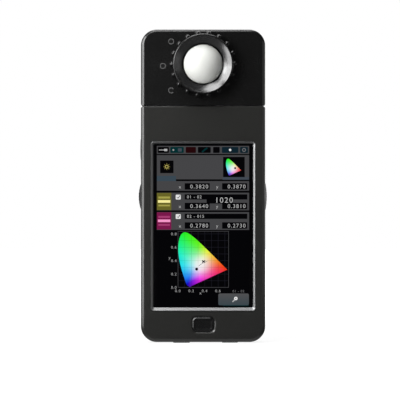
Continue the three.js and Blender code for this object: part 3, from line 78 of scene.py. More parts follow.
@dataclass(frozen=True)
class Extent:
    """The box of one CAD node at rest, in millimetres."""

    left: float
    right: float
    front: float
    back: float
    low: float
    high: float

    @classmethod
    def of(cls, node: str) -> "Extent":
        """Reads the box of a CAD node from the imported model.

        Args:
            node: name of the CAD node.

        Returns:
            The node's box.
        """
        least, most = (np.array(corner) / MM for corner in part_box(node))
        return cls(least[0], most[0], least[1], most[1], least[2], most[2])

    @property
    def middle(self) -> tuple[float, float, float]:
        """The middle of the box."""
        sides = ((self.left, self.right), (self.front, self.back), (self.low, self.high))
        return tuple((least + most) / 2 for least, most in sides)

    @property
    def half_width(self) -> float:
        """Half the size along X."""
        return (self.right - self.left) / 2

    def outline(
        self, growth: float, radius: float, flat: bool = False, steps: int = CORNER_STEPS,
    ) -> np.ndarray:
        """The box's rounded outline, grown by a margin.

        Args:
            growth: how far the outline lies outside the box.
            radius: radius of the corners.
            flat: whether it is the outline seen from above, not from the front.
            steps: steps in each corner.

        Returns:
            An array of (x, z) rows, or of (x, y) rows.
        """
        low, high = (self.front, self.back) if flat else (self.low, self.high)
        return rounded_outline(
            self.left - growth, self.right + growth, low - growth, high + growth, radius, steps=steps,
        )


def linear(*channels: float) -> tuple[float, ...]:
    """Linear light for display values.

    Formula: below 0.04045 a value is divided by 12.92, and above it becomes ((value + 0.055) / 1.055)
    to the power 2.4.

    Args:
        channels: red, green and blue from 0 to 255, or one value for a grey.

    Returns:
        The three as shares of 1, and an alpha of 1.
    """
    value = np.array(channels if len(channels) > 1 else channels * 3) / 255
    return (*np.where(value <= 0.04045, value / 12.92, ((value + 0.055) / 1.055) ** 2.4).tolist(), 1.0)


def rows_of(*columns: np.ndarray | float) -> np.ndarray:
    """Columns of numbers as the rows of one array, each spread over the largest."""
    return np.stack(np.broadcast_arrays(*columns), axis=-1)


def unit(rows: np.ndarray) -> np.ndarray:
    """Rows divided by their lengths."""
    return rows / np.linalg.norm(rows, axis=1, keepdims=True)


# Surfaces


@dataclass
class Shape:
    """A closed surface: its points in millimetres and its faces.

    A face lists its points anticlockwise as seen from outside.
    """

    points: np.ndarray
    faces: list[list[int]]

    def moved(self, x: float = 0.0, y: float = 0.0, z: float = 0.0) -> "Shape":
        """The shape moved along the three axes."""
        return Shape(self.points + np.array([x, y, z]), self.faces)

    def rolled(self, angle: float) -> "Shape":
        """The shape turned about the Y axis, anticlockwise from the front, in radians."""
        (x, y, z), cosine, sine = self.points.T, math.cos(angle), math.sin(angle)
        return Shape(rows_of(x * cosine - z * sine, y, x * sine + z * cosine), self.faces)

    def half_turned(self) -> "Shape":
        """The shape turned by 180 degrees about the Z axis."""
        return Shape(self.points * np.array([-1, -1, 1]), self.faces)

    def laid_flat(self) -> "Shape":
        """The shape with its depth turned downwards: (x, y, z) goes to (x, z, -y)."""
        return Shape(self.points[:, [0, 2, 1]] * np.array([1, 1, -1]), self.faces)

    def stood_up(self) -> "Shape":
        """The shape with its depth as its height: (x, y, z) goes to (x, z, y)."""
        return Shape(self.points[:, [0, 2, 1]], self.faces)

    def with_parts(self, *others: "Shape") -> "Shape":
        """The shape and others that don't touch it, as one.

        Args:
            others: the other shapes.

        Returns:
            One shape with all the points and faces.
        """
        points, faces = [self.points], list(self.faces)
        for other in others:
            start = sum(len(block) for block in points)
            points.append(other.points)
            faces.extend([start + corner for corner in face] for face in other.faces)
        return Shape(np.concatenate(points), faces)


def grid_faces(rows: int, columns: int, close_rows: bool, close_columns: bool) -> list[list[int]]:
    """Quads of a grid of points.

    Formula: a quad joins the points of rows i and i + 1 and of columns j and j + 1, each taken modulo
    its count.

    Args:
        rows, columns: number of rows and of columns.
        close_rows, close_columns: whether the last row or column meets the first.

    Returns:
        The faces as lists of point numbers.
    """
    row = np.arange(rows - (not close_rows))[:, None]
    column = np.arange(columns - (not close_columns))[None, :]
    start, next_start, beside = row * columns, (row + 1) % rows * columns, (column + 1) % columns
    corners = rows_of(start + column, next_start + column, next_start + beside, start + beside)
    return corners.reshape(-1, 4).tolist()


def rounded_outline(
    left: float, right: float, low: float, high: float,
    low_radius: float, high_radius: float | None = None, steps: int = CORNER_STEPS,
) -> np.ndarray:
    """Outline of a rounded rectangle, anticlockwise as seen from the front.

    Formula: each corner is its centre plus its radius times the cosine and the sine of an angle that
    runs over 90 degrees.

    Args:
        left, right, low, high: the four sides.
        low_radius: radius of the two low corners.
        high_radius: radius of the two high corners, or None for the same.
        steps: steps in each corner.

    Returns:
        An array of (x, z) rows.
    """
    high_radius = low_radius if high_radius is None else high_radius
    radius = np.array([low_radius, high_radius, high_radius, low_radius])[:, None]
    x = np.array([right, right, left, left])[:, None] - radius * np.array([1, 1, -1, -1])[:, None]
    z = np.array([low, high, high, low])[:, None] - radius * np.array([-1, 1, 1, -1])[:, None]
    angle = np.linspace(0, math.pi / 2, steps + 1) + np.arange(-1, 3)[:, None] * math.pi / 2
    return rows_of(x + radius * np.cos(angle), z + radius * np.sin(angle)).reshape(-1, 2)


def solid_round(grid: np.ndarray, ring: bool = False) -> Shape:
    """A solid round a grid of points whose columns close.

    Args:
        grid: points by row and column.
        ring: whether the last row meets the first, where the end rows are capped otherwise.

    Returns:
        The solid.
    """
    rows, count = grid.shape[:2]
    faces = grid_faces(rows, count, ring, True)
    if not ring:
        faces.append(list(range(count)))
        faces.append([(rows - 1) * count + corner for corner in reversed(range(count))])
    return Shape(grid.reshape(-1, 3), faces)


def lofted(depths: list[float], outlines: list[np.ndarray], closed: bool = False) -> Shape:
    """A solid through outlines in the XZ plane.

    Formula: the point of row i and column j is (outline i, j, x), depth i and (outline i, j, z).

    Args:
        depths: the place of each outline along Y, front to back.
        outlines: outlines with the same number of points.
        closed: whether the rows form a ring, as round a frame.

    Returns:
        The solid.
    """
    flat = np.stack(outlines)
    return solid_round(rows_of(flat[..., 0], np.array(depths, float)[:, None], flat[..., 1]), closed)


def plate(outline: np.ndarray, front: float, back: float) -> Shape:
    """A flat plate of one outline, from one depth to another."""
    return lofted([front, back], [outline, outline])


def block(left: float, right: float, front: float, back: float, low: float, high: float) -> Shape:
    """A box-shaped cutter between six planes."""
    corners = np.array([[right, low], [right, high], [left, high], [left, low]])
    return plate(corners, front, back)


def turned(profile: np.ndarray, steps: int, closed: bool = False) -> Shape:
    """A solid turned about the Y axis.

    Formula: a profile row (r, y) gives the points r cos a, y and r sin a for every angle a of a full
    turn.

    Args:
        profile: rows of radius and depth, along the outside from front to back.
        steps: steps in a full turn.
        closed: whether the last row of the profile meets the first.

    Returns:
        The solid.
    """
    radius, depth = np.asarray(profile, float).T[:, :, None]
    angle = np.arange(steps) * 2 * math.pi / steps
    points = rows_of(radius * np.cos(angle), depth, radius * np.sin(angle))
    return Shape(points.reshape(-1, 3), grid_faces(len(profile), steps, closed, True))


def turned_upright(profile: np.ndarray, steps: int) -> Shape:
    """A solid turned about the Z axis, from rows of radius and height."""
    return turned(profile, steps).stood_up()


def rod(radius: float, front: float, back: float) -> np.ndarray:
    """Profile of a plain rod with two flat ends."""
    return np.array([[0, front], [radius, front], [radius, back], [0, back]])


def arc(radius: float, centre: float, start: float, end: float, steps: int) -> np.ndarray:
    """Profile rows of an arc about a point on the axis.

    Formula: radius times the sine of the angle, and the centre less radius times its cosine, so angle 0
    is the foremost point.
    """
    angle = np.linspace(start, end, steps + 1)
    return rows_of(radius * np.sin(angle), centre - radius * np.cos(angle))


def edge_rows(radius: float, steps: int = 5) -> tuple[np.ndarray, np.ndarray]:
    """Depth and inset along a quarter-round edge.

    Formula: depth is the radius times one less the cosine, and inset the radius times one less the
    sine, of an angle from 0 to 90 degrees.
    """
    angle = np.linspace(0, math.pi / 2, steps + 1)
    return radius * (1 - np.cos(angle)), radius * (1 - np.sin(angle))


def bevel_rows(
    width: float, slope: float, rounding: float, shoulder: float, steps: int = 5,
) -> tuple[np.ndarray, np.ndarray]:
    """Depth and inset along a sloped bevel that rounds over into the side.

    Formula: each edge is a quadratic curve whose control point is where the two straight stretches
    beside it would meet.

    Args:
        width: the bevel's whole width, seen from the front.
        slope: angle of the flat stretch to the face, in degrees.
        rounding: width of the outer part that rounds over.
        shoulder: width of the softened inner edge.
        steps: steps in each curve.

    Returns:
        Depths behind the face, and how far each lies inside the side.
    """
    share = np.linspace(0, 1, steps + 1)[:, None]
    steepness = math.tan(math.radians(slope))

    def curve(before: list[float], corner: list[float], after: list[float]) -> np.ndarray:
        """Points of the quadratic curve."""
        ends = (1 - share) ** 2 * np.array(before) + share**2 * np.array(after)
        return ends + 2 * share * (1 - share) * np.array(corner)

    edge_depth = (width - rounding) * steepness
    side_depth = width * steepness
    rows = np.concatenate([
        curve([0, width + shoulder], [0, width], [shoulder * steepness, width - shoulder]),
        curve([edge_depth, rounding], [side_depth, 0], [side_depth + rounding, 0]),
    ])
    return rows[:, 0], rows[:, 1]


def swept(path: np.ndarray, radius: float, sides: int = 10) -> Shape:
    """A round wire along a coil that climbs the Z axis.

    Formula: at each point the circle lies in the plane of the outward radial direction and of its cross
    product with the tangent.

    Args:
        path: points of the wire's centre line.
        radius: radius of the wire.
        sides: sides of the wire.

    Returns:
        The wire with flat ends.
    """
    tangent = unit(np.gradient(path, axis=0))
    across = unit(np.cross(tangent, unit(path * np.array([1, 1, 0]))))
    outward = np.cross(across, tangent)
    angle = (np.arange(sides) * 2 * math.pi / sides)[None, :, None]
    circle = np.cos(angle) * outward[:, None] + np.sin(angle) * across[:, None]
    return solid_round(path[:, None] + radius * circle)


# Meshes


def new_object(name: str, data: bpy.types.ID) -> bpy.types.Object:
    """Makes an object of a mesh, a lamp or the like in the scene.

    Args:
        name: name of the object.
        data: what the object shows.

    Returns:
        The object.
    """
    made = bpy.data.objects.new(name, data)
    bpy.context.scene.collection.objects.link(made)
    return made


def evaluated(thing: bpy.types.Object) -> Mesh:
    """The mesh of an object with its modifiers applied, or of its letters."""
    graph = bpy.context.evaluated_depsgraph_get()
    return bpy.data.meshes.new_from_object(thing.evaluated_get(graph))


def mesh_of(form: Shape | Mesh) -> Mesh:
    """Puts a shape into a Blender mesh in metres, with outward faces.

    Args:
        form: a closed surface in millimetres, or a mesh, which stays as it is.

    Returns:
        The mesh, with poles and seams merged.
    """
    if isinstance(form, Mesh):
        return form
    mesh = bpy.data.meshes.new("piece")
    mesh.from_pydata((form.points * MM).tolist(), [], form.faces)
    working = bmesh.new()
    working.from_mesh(mesh)
    bmesh.ops.remove_doubles(working, verts=working.verts, dist=MERGE_DISTANCE)
    bmesh.ops.recalc_face_normals(working, faces=working.faces)
    working.to_mesh(mesh)
    working.free()
    return mesh


class Operation(Enum):
    """What a Boolean modifier does with its tools."""

    JOIN = "UNION"
    CUT = "DIFFERENCE"


def worked(base: Shape | Mesh, operation: Operation, tools: list[Shape]) -> Mesh:
    """Joins tools to a form or cuts them from it, exactly.

    Args:
        base: the form to work on.
        operation: join or cut.
        tools: closed shapes.

    Returns:
        The new mesh.
    """
    store = bpy.data.collections.new("tools")
    bpy.context.scene.collection.children.link(store)
    helpers = [bpy.data.objects.new("tool", mesh_of(tool)) for tool in tools]
    for helper in helpers:
        store.objects.link(helper)
    carrier = new_object("carrier", mesh_of(base))
    modifier = carrier.modifiers.new("work", "BOOLEAN")
    modifier.operation = operation.value
    modifier.solver = "EXACT"
    modifier.operand_type = "COLLECTION"
    modifier.collection = store
    result = evaluated(carrier)
    for helper in [*helpers, carrier]:
        bpy.data.objects.remove(helper)
    bpy.data.collections.remove(store)
    return result


def text_shape(words: str, height: float) -> Shape:
    """Flat letters of Blender's own font, in the XZ plane and facing the front.

    Args:
        words: numbers or single letters.
        height: height of a capital letter.

    Returns:
        An open shape whose origin is the left end of the base line.
    """
    capital_share = 0.72  # capital height of the font as a share of its size
    curve = bpy.data.curves.new("words", "FONT")
    curve.body = words
    curve.size = height / capital_share
    curve.resolution_u = 3
    curve.space_character = 1.22
    writer = new_object("words", curve)
    mesh = evaluated(writer)
    points = np.zeros(len(mesh.vertices) * 3)
    mesh.vertices.foreach_get("co", points)
    x, y, _ = points.reshape(-1, 3).T
    faces = [list(face.vertices) for face in mesh.polygons]
    bpy.data.objects.remove(writer)
    return Shape(rows_of(x, 0.0, y), faces)


# Finishes


@dataclass(frozen=True)
class Nodes:
    """Adds shader nodes to one tree.

    An input that is given a socket is linked to it, and any other value is set.
    """

    tree: bpy.types.NodeTree

    def feed(self, node: bpy.types.Node, inputs: dict[str | int, object]) -> None:
        """Joins the inputs of a node.

        Args:
            node: the node.
            inputs: a socket or a value for each named or numbered input.
        """
        for name, value in inputs.items():
            if isinstance(value, Socket):
                self.tree.links.new(value, node.inputs[name])
            else:
                node.inputs[name].default_value = value

    def add(self, kind: str, output: str, inputs: dict[str | int, object], **settings: object) -> Socket:
        """Adds a node.

        Args:
            kind: the node's type without its common prefix.
            output: name of the wanted output.
            inputs: a socket or a value for each named or numbered input.
            settings: properties of the node.

        Returns:
            The wanted output.
        """
        node = self.tree.nodes.new(f"ShaderNode{kind}")
        for name, value in settings.items():
            setattr(node, name, value)
        self.feed(node, inputs)
        return node.outputs[output]

    def math(self, operation: str, *values: object, **settings: object) -> Socket:
        """The result of one step of arithmetic."""
        return self.add("Math", "Value", dict(enumerate(values)), operation=operation, **settings)

    def vector(self, operation: str, *values: object, output: str = "Vector") -> Socket:
        """The result of one step of vector arithmetic."""
        return self.add("VectorMath", output, dict(enumerate(values)), operation=operation)

    def place(self) -> Socket:
        """The Object coordinates."""
        return self.add("TexCoord", "Object", {})

    def light_path(self) -> bpy.types.bpy_prop_collection:
        """The outputs that say what kind of ray meets the surface."""
        return self.tree.nodes.new("ShaderNodeLightPath").outputs

    def mix(self, share: object, first: object, second: object) -> Socket:
        """A colour that goes from the first to the second as the share rises."""
        return self.add("Mix", "Result", {"Factor": share, "A": first, "B": second}, data_type="RGBA")

    def mix_shaders(self, share: object, first: object, second: object) -> Socket:
        """A shader that goes from the first to the second as the share rises."""
        return self.add("MixShader", "Shader", {"Fac": share, 1: first, 2: second})


def new_material(name: str) -> tuple[bpy.types.Material, Nodes, bpy.types.Node]:
    """Makes a node material.

    Args:
        name: name of the material.

    Returns:
        The material, its nodes and its shader.
    """
    material = bpy.data.materials.new(name)
    material.use_nodes = True
    return material, Nodes(material.node_tree), material.node_tree.nodes["Principled BSDF"]


class Grain(Enum):
    """The direction that the grain of a finish follows."""

    SPECKLE = "the same all ways"
    TURNED = "rings about an axis along Y"
    DRAWN_X = "lines along X"
    DRAWN_Z = "lines along Z"


GRAIN_STRETCH = {
    Grain.SPECKLE: (1.0, 1.0, 1.0),
    Grain.TURNED: (1.0, 0.0, 1.0),
    Grain.DRAWN_X: (0.03, 1.0, 1.0),
    Grain.DRAWN_Z: (1.0, 1.0, 0.03),
}


@dataclass(frozen=True)
class Finish:
    """A finish with fine grain, broad mottling and relief.

    Attributes:
        slot: the record's material slot.
        colour: main display colour, 0 to 255.
        fleck: display colour that the grain brings in.
        roughness, roughness_spread: middle value and swing with the grain.
        metallic, specular, coat, subsurface: strengths on the shader.
        coat_roughness, subsurface_reach: how soft the coat is, and how far light of each colour goes
            into the piece, in millimetres.
        grain, grain_size, relief: direction, size and height of the grain.
        grain_span: grain values between which the colour turns into the fleck.
        mottle_size, mottle_share: size and strength of the broad variation.
        centre: the point that a turned grain runs round.
    """

    slot: str
    colour: tuple[int, int, int]
    fleck: tuple[int, int, int]
    roughness: float
    roughness_spread: float = 0.08
    metallic: float = 0.0
    specular: float = 0.5
    coat: float = 0.0
    coat_roughness: float = 0.14
    subsurface: float = 0.0
    subsurface_reach: tuple[float, float, float] = (3.4, 3.2, 2.8)
    grain: Grain = Grain.SPECKLE
    grain_size: float = 0.4
    grain_span: tuple[float, float] = (0.38, 0.72)
    relief: float = 0.006
    mottle_size: float = 14.0
    mottle_share: float = 0.35
    centre: tuple[float, float, float] = (0.0, 0.0, 0.0)

    def material(self) -> bpy.types.Material:
        """Builds a node material that varies over Object coordinates.

        Formula: the roughness is its middle value less the swing, plus the swing times the sum of grain
        and mottling.

        Returns:
            The material.
        """
        material, nodes, shader = new_material(f"{self.slot}_{self.grain.name.lower()}")
        grain = self.grain_noise(nodes)
        mottle = nodes.add("TexNoise", "Fac", {
            "Vector": nodes.place(), "Scale": 1 / (self.mottle_size * MM), "Detail": 4.0,
        })
        nodes.feed(shader, {
            "Base Color": self.colour_mix(nodes, grain, mottle),
            "Roughness": nodes.math(
                "MULTIPLY_ADD", nodes.math("ADD", grain, mottle), self.roughness_spread,
                self.roughness - self.roughness_spread, use_clamp=True,
            ),
            "Normal": nodes.add(
                "Bump", "Normal", {"Strength": 1.0, "Distance": self.relief * MM, "Height": grain},
            ),
            "Metallic": self.metallic,
            "Specular IOR Level": self.specular,
            "Coat Weight": self.coat,
            "Coat Roughness": self.coat_roughness,
            "Subsurface Weight": self.subsurface,
            "Subsurface Scale": MM,
            "Subsurface Radius": self.subsurface_reach,
        })
        self.add_details(nodes, shader)
        return material

    def grain_noise(self, nodes: Nodes) -> Socket:
        """Adds the fine grain.

        Args:
            nodes: the material's nodes.

        Returns:
            Noise along the direction of the grain, or over the distance from its axis.
        """
        stretch = GRAIN_STRETCH[self.grain]
        shift = [-at * MM * share for at, share in zip(self.centre, stretch)]
        mapping = {"Vector": nodes.place(), "Scale": stretch, "Location": shift}
        place = nodes.add("Mapping", "Vector", mapping)
        look = {"Scale": 1 / (self.grain_size * MM), "Detail": 3.0, "Roughness": 0.6}
        if self.grain is Grain.TURNED:
            away = nodes.vector("LENGTH", place, output="Value")
            return nodes.add("TexNoise", "Fac", look | {"W": away}, noise_dimensions="1D")
        return nodes.add("TexNoise", "Fac", look | {"Vector": place})

    def colour_mix(self, nodes: Nodes, grain: Socket, mottle: Socket) -> Socket:
        """Mixes the main colour and the fleck by the grain, then by the mottling.

        Args:
            nodes: the material's nodes.
            grain: the fine grain.
            mottle: the broad variation.

        Returns:
            The colour.
        """
        ramp = nodes.tree.nodes.new("ShaderNodeValToRGB")
        colours = (self.colour, self.fleck)
        for element, position, colour in zip(ramp.color_ramp.elements, self.grain_span, colours):
            element.position, element.color = position, linear(*colour)
        nodes.feed(ramp, {"Fac": grain})
        middle = [(main + other) / 2 for main, other in zip(*colours)]
        share = nodes.math("MULTIPLY", mottle, self.mottle_share)
        return nodes.mix(share, ramp.outputs["Color"], linear(*middle))

    def add_details(self, nodes: Nodes, shader: bpy.types.Node) -> None:
        """Room for what one finish adds to the common nodes."""


@dataclass(frozen=True)
class JacketFinish(Finish):
    """A printed battery jacket with a pale band near one end and bare metal caps.

    Attributes:
        band, cap: display colours of the band and of the bare metal.
        band_low, band_high: heights between which the band lies.
        cap_low, cap_high: heights outside which the metal shows.
    """

    band: tuple[int, int, int] = (150, 156, 160)
    cap: tuple[int, int, int] = (168, 170, 172)
    band_low: float = 0.0
    band_high: float = 0.0
    cap_low: float = 0.0
    cap_high: float = 0.0

    def add_details(self, nodes: Nodes, shader: bpy.types.Node) -> None:
        """Paints the band and the caps by the height of the surface.

        Args:
            nodes: the material's nodes.
            shader: its shader.
        """
        height = nodes.add("SeparateXYZ", "Z", {"Vector": nodes.place()})

        def between(low: float, high: float) -> Socket:
            """1 where the height lies between two values, by two comparisons multiplied."""
            above = nodes.math("GREATER_THAN", height, low * MM)
            return nodes.math("MULTIPLY", above, nodes.math("LESS_THAN", height, high * MM))

        colour = shader.inputs["Base Color"].links[0].from_socket
        banded = nodes.mix(between(self.band_low, self.band_high), colour, linear(*self.band))
        bare = nodes.math("SUBTRACT", 1.0, between(self.cap_low, self.cap_high))
        nodes.feed(shader, {"Base Color": nodes.mix(bare, banded, linear(*self.cap)), "Metallic": bare})


@dataclass(frozen=True)
class PictureFinish:
    """The lit picture of the display, whose colours lie on the points.

    Attributes:
        slot: not used.
        attribute: name of the colour attribute.
        dot_size: pitch of the display's fine dots, in millimetres.
    """

    slot: str
    attribute: str = "ink"
    dot_size: float = 0.18

    def material(self) -> bpy.types.Material:
        """Builds a dark material that glows with the colour attribute.

        Returns:
            The material, dimmed slightly between the display's dots.
        """
        material, nodes, shader = new_material("display_picture")
        dots = nodes.add("TexVoronoi", "Distance", {
            "Vector": nodes.place(), "Scale": 1 / (self.dot_size * MM), "Randomness": 0.0,
        })
        level = nodes.add("MapRange", "Result", {"Value": dots, "To Min": 1.0, "To Max": 0.9})
        ink = nodes.add("Attribute", "Color", {}, attribute_name=self.attribute)
        glow = nodes.add("VectorMath", "Vector", {0: ink, "Scale": level}, operation="SCALE")
        nodes.feed(shader, {
            "Base Color": linear(2), "Roughness": 0.12, "Specular IOR Level": 0.0, "Emission Strength": 1.0,
            "Emission Color": glow,
        })
        return material


BODY_PAINT = Finish("body_paint", (31, 31, 30), (39, 39, 37), 0.3, relief=0.004, grain_size=0.35, coat=0.4)
HEAD_PAINT = Finish("head_paint", (10, 10, 10), (14, 14, 14), 0.26, relief=0.002, grain_size=0.3, coat=0.4)
BRIGHT_TRIM = Finish(
    "bright_trim", (148, 149, 150), (164, 164, 164), 0.45, metallic=1.0, grain=Grain.DRAWN_Z,
    grain_size=0.12, relief=0.002,
)
SCREEN_GLASS = Finish(
    "screen_glass", (2, 2, 3), (4, 4, 5), 0.07, roughness_spread=0.02, specular=0.15,
    grain_size=1.6, relief=0.0004, mottle_size=30.0,
)
LCD_PLATE = Finish("lcd_plate", (44, 48, 52), (58, 60, 62), 0.4, metallic=0.3, grain=Grain.DRAWN_X)
BOARD_LAMINATE = Finish(
    "board_laminate", (20, 82, 46), (40, 104, 60), 0.42, grain=Grain.DRAWN_X, grain_size=0.5,
    coat=0.3,
)
TIN_PLATE = Finish(
    "tin_plate", (182, 184, 186), (158, 160, 164), 0.35, metallic=1.0, grain=Grain.DRAWN_X,
    grain_size=0.2,
)
BLACK_PLASTIC = Finish("black_plastic", (22, 22, 22), (30, 30, 30), 0.5, grain_size=0.25, specular=0.35)
KEY_RUBBER = Finish("key_rubber", (12, 12, 13), (17, 17, 17), 0.28, grain_size=0.22, relief=0.002)
SIDE_RUBBER = Finish(
    "key_rubber", (19, 19, 20), (27, 27, 28), 0.5, grain_size=0.22, relief=0.004, specular=0.25,
)
SOFT_RUBBER = Finish(
    "soft_rubber", (15, 15, 15), (21, 21, 21), 0.7, grain_size=0.3, relief=0.01, specular=0.1,
)
STEEL = Finish("steel", (143, 145, 148), (176, 178, 180), 0.32, metallic=1.0, grain_size=0.15, relief=0.002)
BRASS = Finish("brass", (176, 141, 74), (202, 170, 104), 0.34, metallic=1.0, grain_size=0.2, relief=0.002)
RING_BLACK = Finish(
    "ring_metal", (9, 9, 9), (14, 14, 15), 0.18, roughness_spread=0.04, grain_size=0.2,
    relief=0.001,
)
OPAL = Finish(
    "opal_dome", (213, 214, 210), (204, 205, 200), 0.4, subsurface=0.25, grain_size=0.5,
    relief=0.001, specular=0.35, mottle_size=8.0,
)
DARK_ANODISED = Finish("dark_anodised", (16, 16, 18), (30, 30, 33), 0.5, metallic=0.5, grain_size=0.2)
GRATING_GLASS = Finish(
    "grating_glass", (199, 205, 212), (214, 208, 224), 0.1, roughness_spread=0.03, metallic=0.8,
    grain=Grain.DRAWN_Z, grain_size=0.08, relief=0.001,
)
SENSOR_CERAMIC = Finish("sensor_ceramic", (58, 51, 48), (74, 66, 60), 0.5, grain_size=0.2)
CABLE_JACKET = Finish("cable_jacket", (15, 15, 16), (26, 26, 27), 0.6, grain_size=0.3, relief=0.01)


def place(name: str, form: Shape | Mesh, body: str, finish: Finish | PictureFinish, *nodes: str) -> None:
    """Makes a finished piece that rides on a body.

    Args:
        name: name of the piece.
        form: its closed surface or its mesh.
        body: the CAD body that carries it.
        finish: its finish.
        nodes: the CAD nodes that it stands for.
    """
    mesh = mesh_of(form)
    mesh.name = name
    mesh.materials.clear()
    mesh.materials.append(finish.material())
    mesh.shade_smooth()
    mesh.set_sharp_from_angle(angle=math.radians(SHARP_ANGLE))
    piece = new_object(name, mesh)
    piece.modifiers.new("even_normals", "WEIGHTED_NORMAL").keep_sharp = True
    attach(piece, body)
    if nodes:
        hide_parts(*nodes)
    LOG.info("%s: %d faces on %s", name, len(mesh.polygons), body)


# Housings


@dataclass
class Housing:
    """The common shape of the body and of the head.

    Both are a front and a rear shell that meet at a parting line, with a flat bevel round the face, a
    rounded back, and four screw bosses.
    """

    front_node: str
    rear_node: str
    low_radius: float
    high_radius: float
    seam_high: bool
    wall: float = 2.0
    bevel: float = 1.8
    bevel_slope: float = 27.0
    bevel_rounding: float = 0.7
    seam_bevel: float = 0.18
    crown_share: float = 0.72  # of the bevel's width that it keeps along the top of the head
    ridge_height: float = 0.45
    ridge_inset: float = 1.4
    shoulder: float = 0.15
    back_rounding: float = 3.0
    parting_chamfer: float = 0.15
    parting_gap: float = 0.2
    least_radius: float = 0.3
    boss_radius: float = 3.0
    boss_inset: float = 6.8
    pilot_radius: float = 1.25
    pilot_reach: float = 15.8  # from the back to the end of a pilot hole
    sink_radius: float = 2.35
    sink_depth: float = 3.5
    front_box: Extent = field(init=False)
    rear_box: Extent = field(init=False)

    def __post_init__(self) -> None:
        """Reads the boxes of the two covers."""
        self.front_box = Extent.of(self.front_node)
        self.rear_box = Extent.of(self.rear_node)

    def outline(self, inset: float, seam_inset: float) -> np.ndarray:
        """The outer outline, drawn in by one inset, and by another at the seam.

        Args:
            inset: how far it is drawn in elsewhere.
            seam_inset: how far it is drawn in at the seam.

        Returns:
            The outline as rows of x and z.
        """
        box = self.front_box
        low_inset = inset if self.seam_high else seam_inset
        high_inset = seam_inset if self.seam_high else inset * self.crown_share
        return rounded_outline(
            box.left + inset, box.right - inset, box.low + low_inset, box.high - high_inset,
            max(self.low_radius - inset, self.least_radius),
            max(self.high_radius - inset, self.least_radius),
        )

    def skin(self, depths: np.ndarray, insets: np.ndarray, seam_insets: np.ndarray) -> Shape:
        """A loft with one run of insets at the seam and another elsewhere."""
        outlines = [self.outline(*drawn) for drawn in zip(insets, seam_insets)]
        return lofted(list(depths), outlines)

    def boss_places(self) -> list[tuple[float, float]]:
        """The four places of the bosses: x and z.

        Returns:
            A pair for each boss, the lower ones first.
        """
        box = self.front_box
        across = (box.left + self.boss_inset, box.right - self.boss_inset)
        along = (box.low + self.boss_inset, box.high - self.boss_inset)
        return [(x, z) for z in along for x in across]

    def rods(self, radius: float, front: float, back: float) -> list[Shape]:
        """A rod at each boss."""
        plain = turned(rod(radius, front, back), 32)
        return [plain.moved(x, 0, z) for x, z in self.boss_places()]

    def ridge(self, front: float, back: float) -> Shape:
        """A low ridge on the top wall that closes the gap under the head.

        Args:
            front: its front.
            back: its back.

        Returns:
            The ridge as a block.
        """
        box = self.front_box
        return block(
            box.left + self.ridge_inset, box.right - self.ridge_inset, front, back,
            box.high - self.wall / 2, box.high + self.ridge_height,
        )

    def hollowed(
        self, skin: Shape, front: float, back: float, added: list[Shape], removed: list[Shape],
    ) -> Mesh:
        """The skin with its cavity cut between two depths, then parts joined, then holes cut.

        Args:
            skin: the closed outer form.
            front: where the cavity starts.
            back: where the cavity ends.
            added: shapes joined inside.
            removed: shapes cut from it.

        Returns:
            The mesh of the shell.
        """
        shell = worked(skin, Operation.CUT, [plate(self.outline(self.wall, self.wall), front, back)])
        return worked(worked(shell, Operation.JOIN, added), Operation.CUT, removed)

    def front_shell(self, added: list[Shape], removed: list[Shape]) -> Mesh:
        """The front cover: bevelled skin, cavity, bosses, then the holes.

        Args:
            added: shapes joined inside the shell.
            removed: shapes cut from it.

        Returns:
            The mesh of the front cover.
        """
        front, back = self.front_box.front, self.front_box.back
        depth, inset = bevel_rows(self.bevel, self.bevel_slope, self.bevel_rounding, self.shoulder)
        steepness = math.tan(math.radians(self.bevel_slope))
        rows = np.sort(np.append(depth, self.seam_bevel * steepness))
        chamfer = self.parting_chamfer
        depths = np.concatenate([front + rows, [back - chamfer, back]])
        insets = np.concatenate([np.interp(rows, depth, inset), [0, chamfer]])
        seam_insets = np.concatenate([np.maximum(self.seam_bevel - rows / steepness, 0), [0, 0]])
        bosses = self.rods(self.boss_radius, front + self.wall / 2, back)
        pilots = self.rods(self.pilot_radius, self.rear_box.back - self.pilot_reach, back + OVERRUN)
        return self.hollowed(
            self.skin(depths, insets, seam_insets), front + self.wall, back + OVERRUN, bosses + added,
            pilots + removed,
        )

    def rear_shell(self, added: list[Shape], removed: list[Shape]) -> Mesh:
        """The rear cover: rounded back, cavity, bosses, then the holes.

        Args:
            added: shapes joined inside the shell.
            removed: shapes cut from it.

        Returns:
            The mesh of the rear cover.
        """
        front, back = self.front_box.back + self.parting_gap, self.rear_box.back
        depth, inset = edge_rows(self.back_rounding, 12)
        chamfer = self.parting_chamfer
        depths = np.concatenate([[front, front + chamfer], back - depth[::-1]])
        insets = np.concatenate([[chamfer, 0], inset[::-1]])
        seam_insets = insets * self.seam_bevel / self.back_rounding
        bosses = self.rods(self.boss_radius, front, back - self.wall / 2)
        holes = self.rods(self.pilot_radius, front - OVERRUN, back)
        holes += self.rods(self.sink_radius, back - self.sink_depth, back + OVERRUN)
        return self.hollowed(
            self.skin(depths, insets, seam_insets), front - OVERRUN, back - self.wall, bosses + added,
            holes + removed,
        )


# Keys, flaps and sockets

FIT_GAP = 0.3  # between loosely fitted pieces
PRESS_GAP = 0.15  # between a pressed piece and its seat
KEY_GAP = 0.25  # round the keys, the latch and the screen's trim


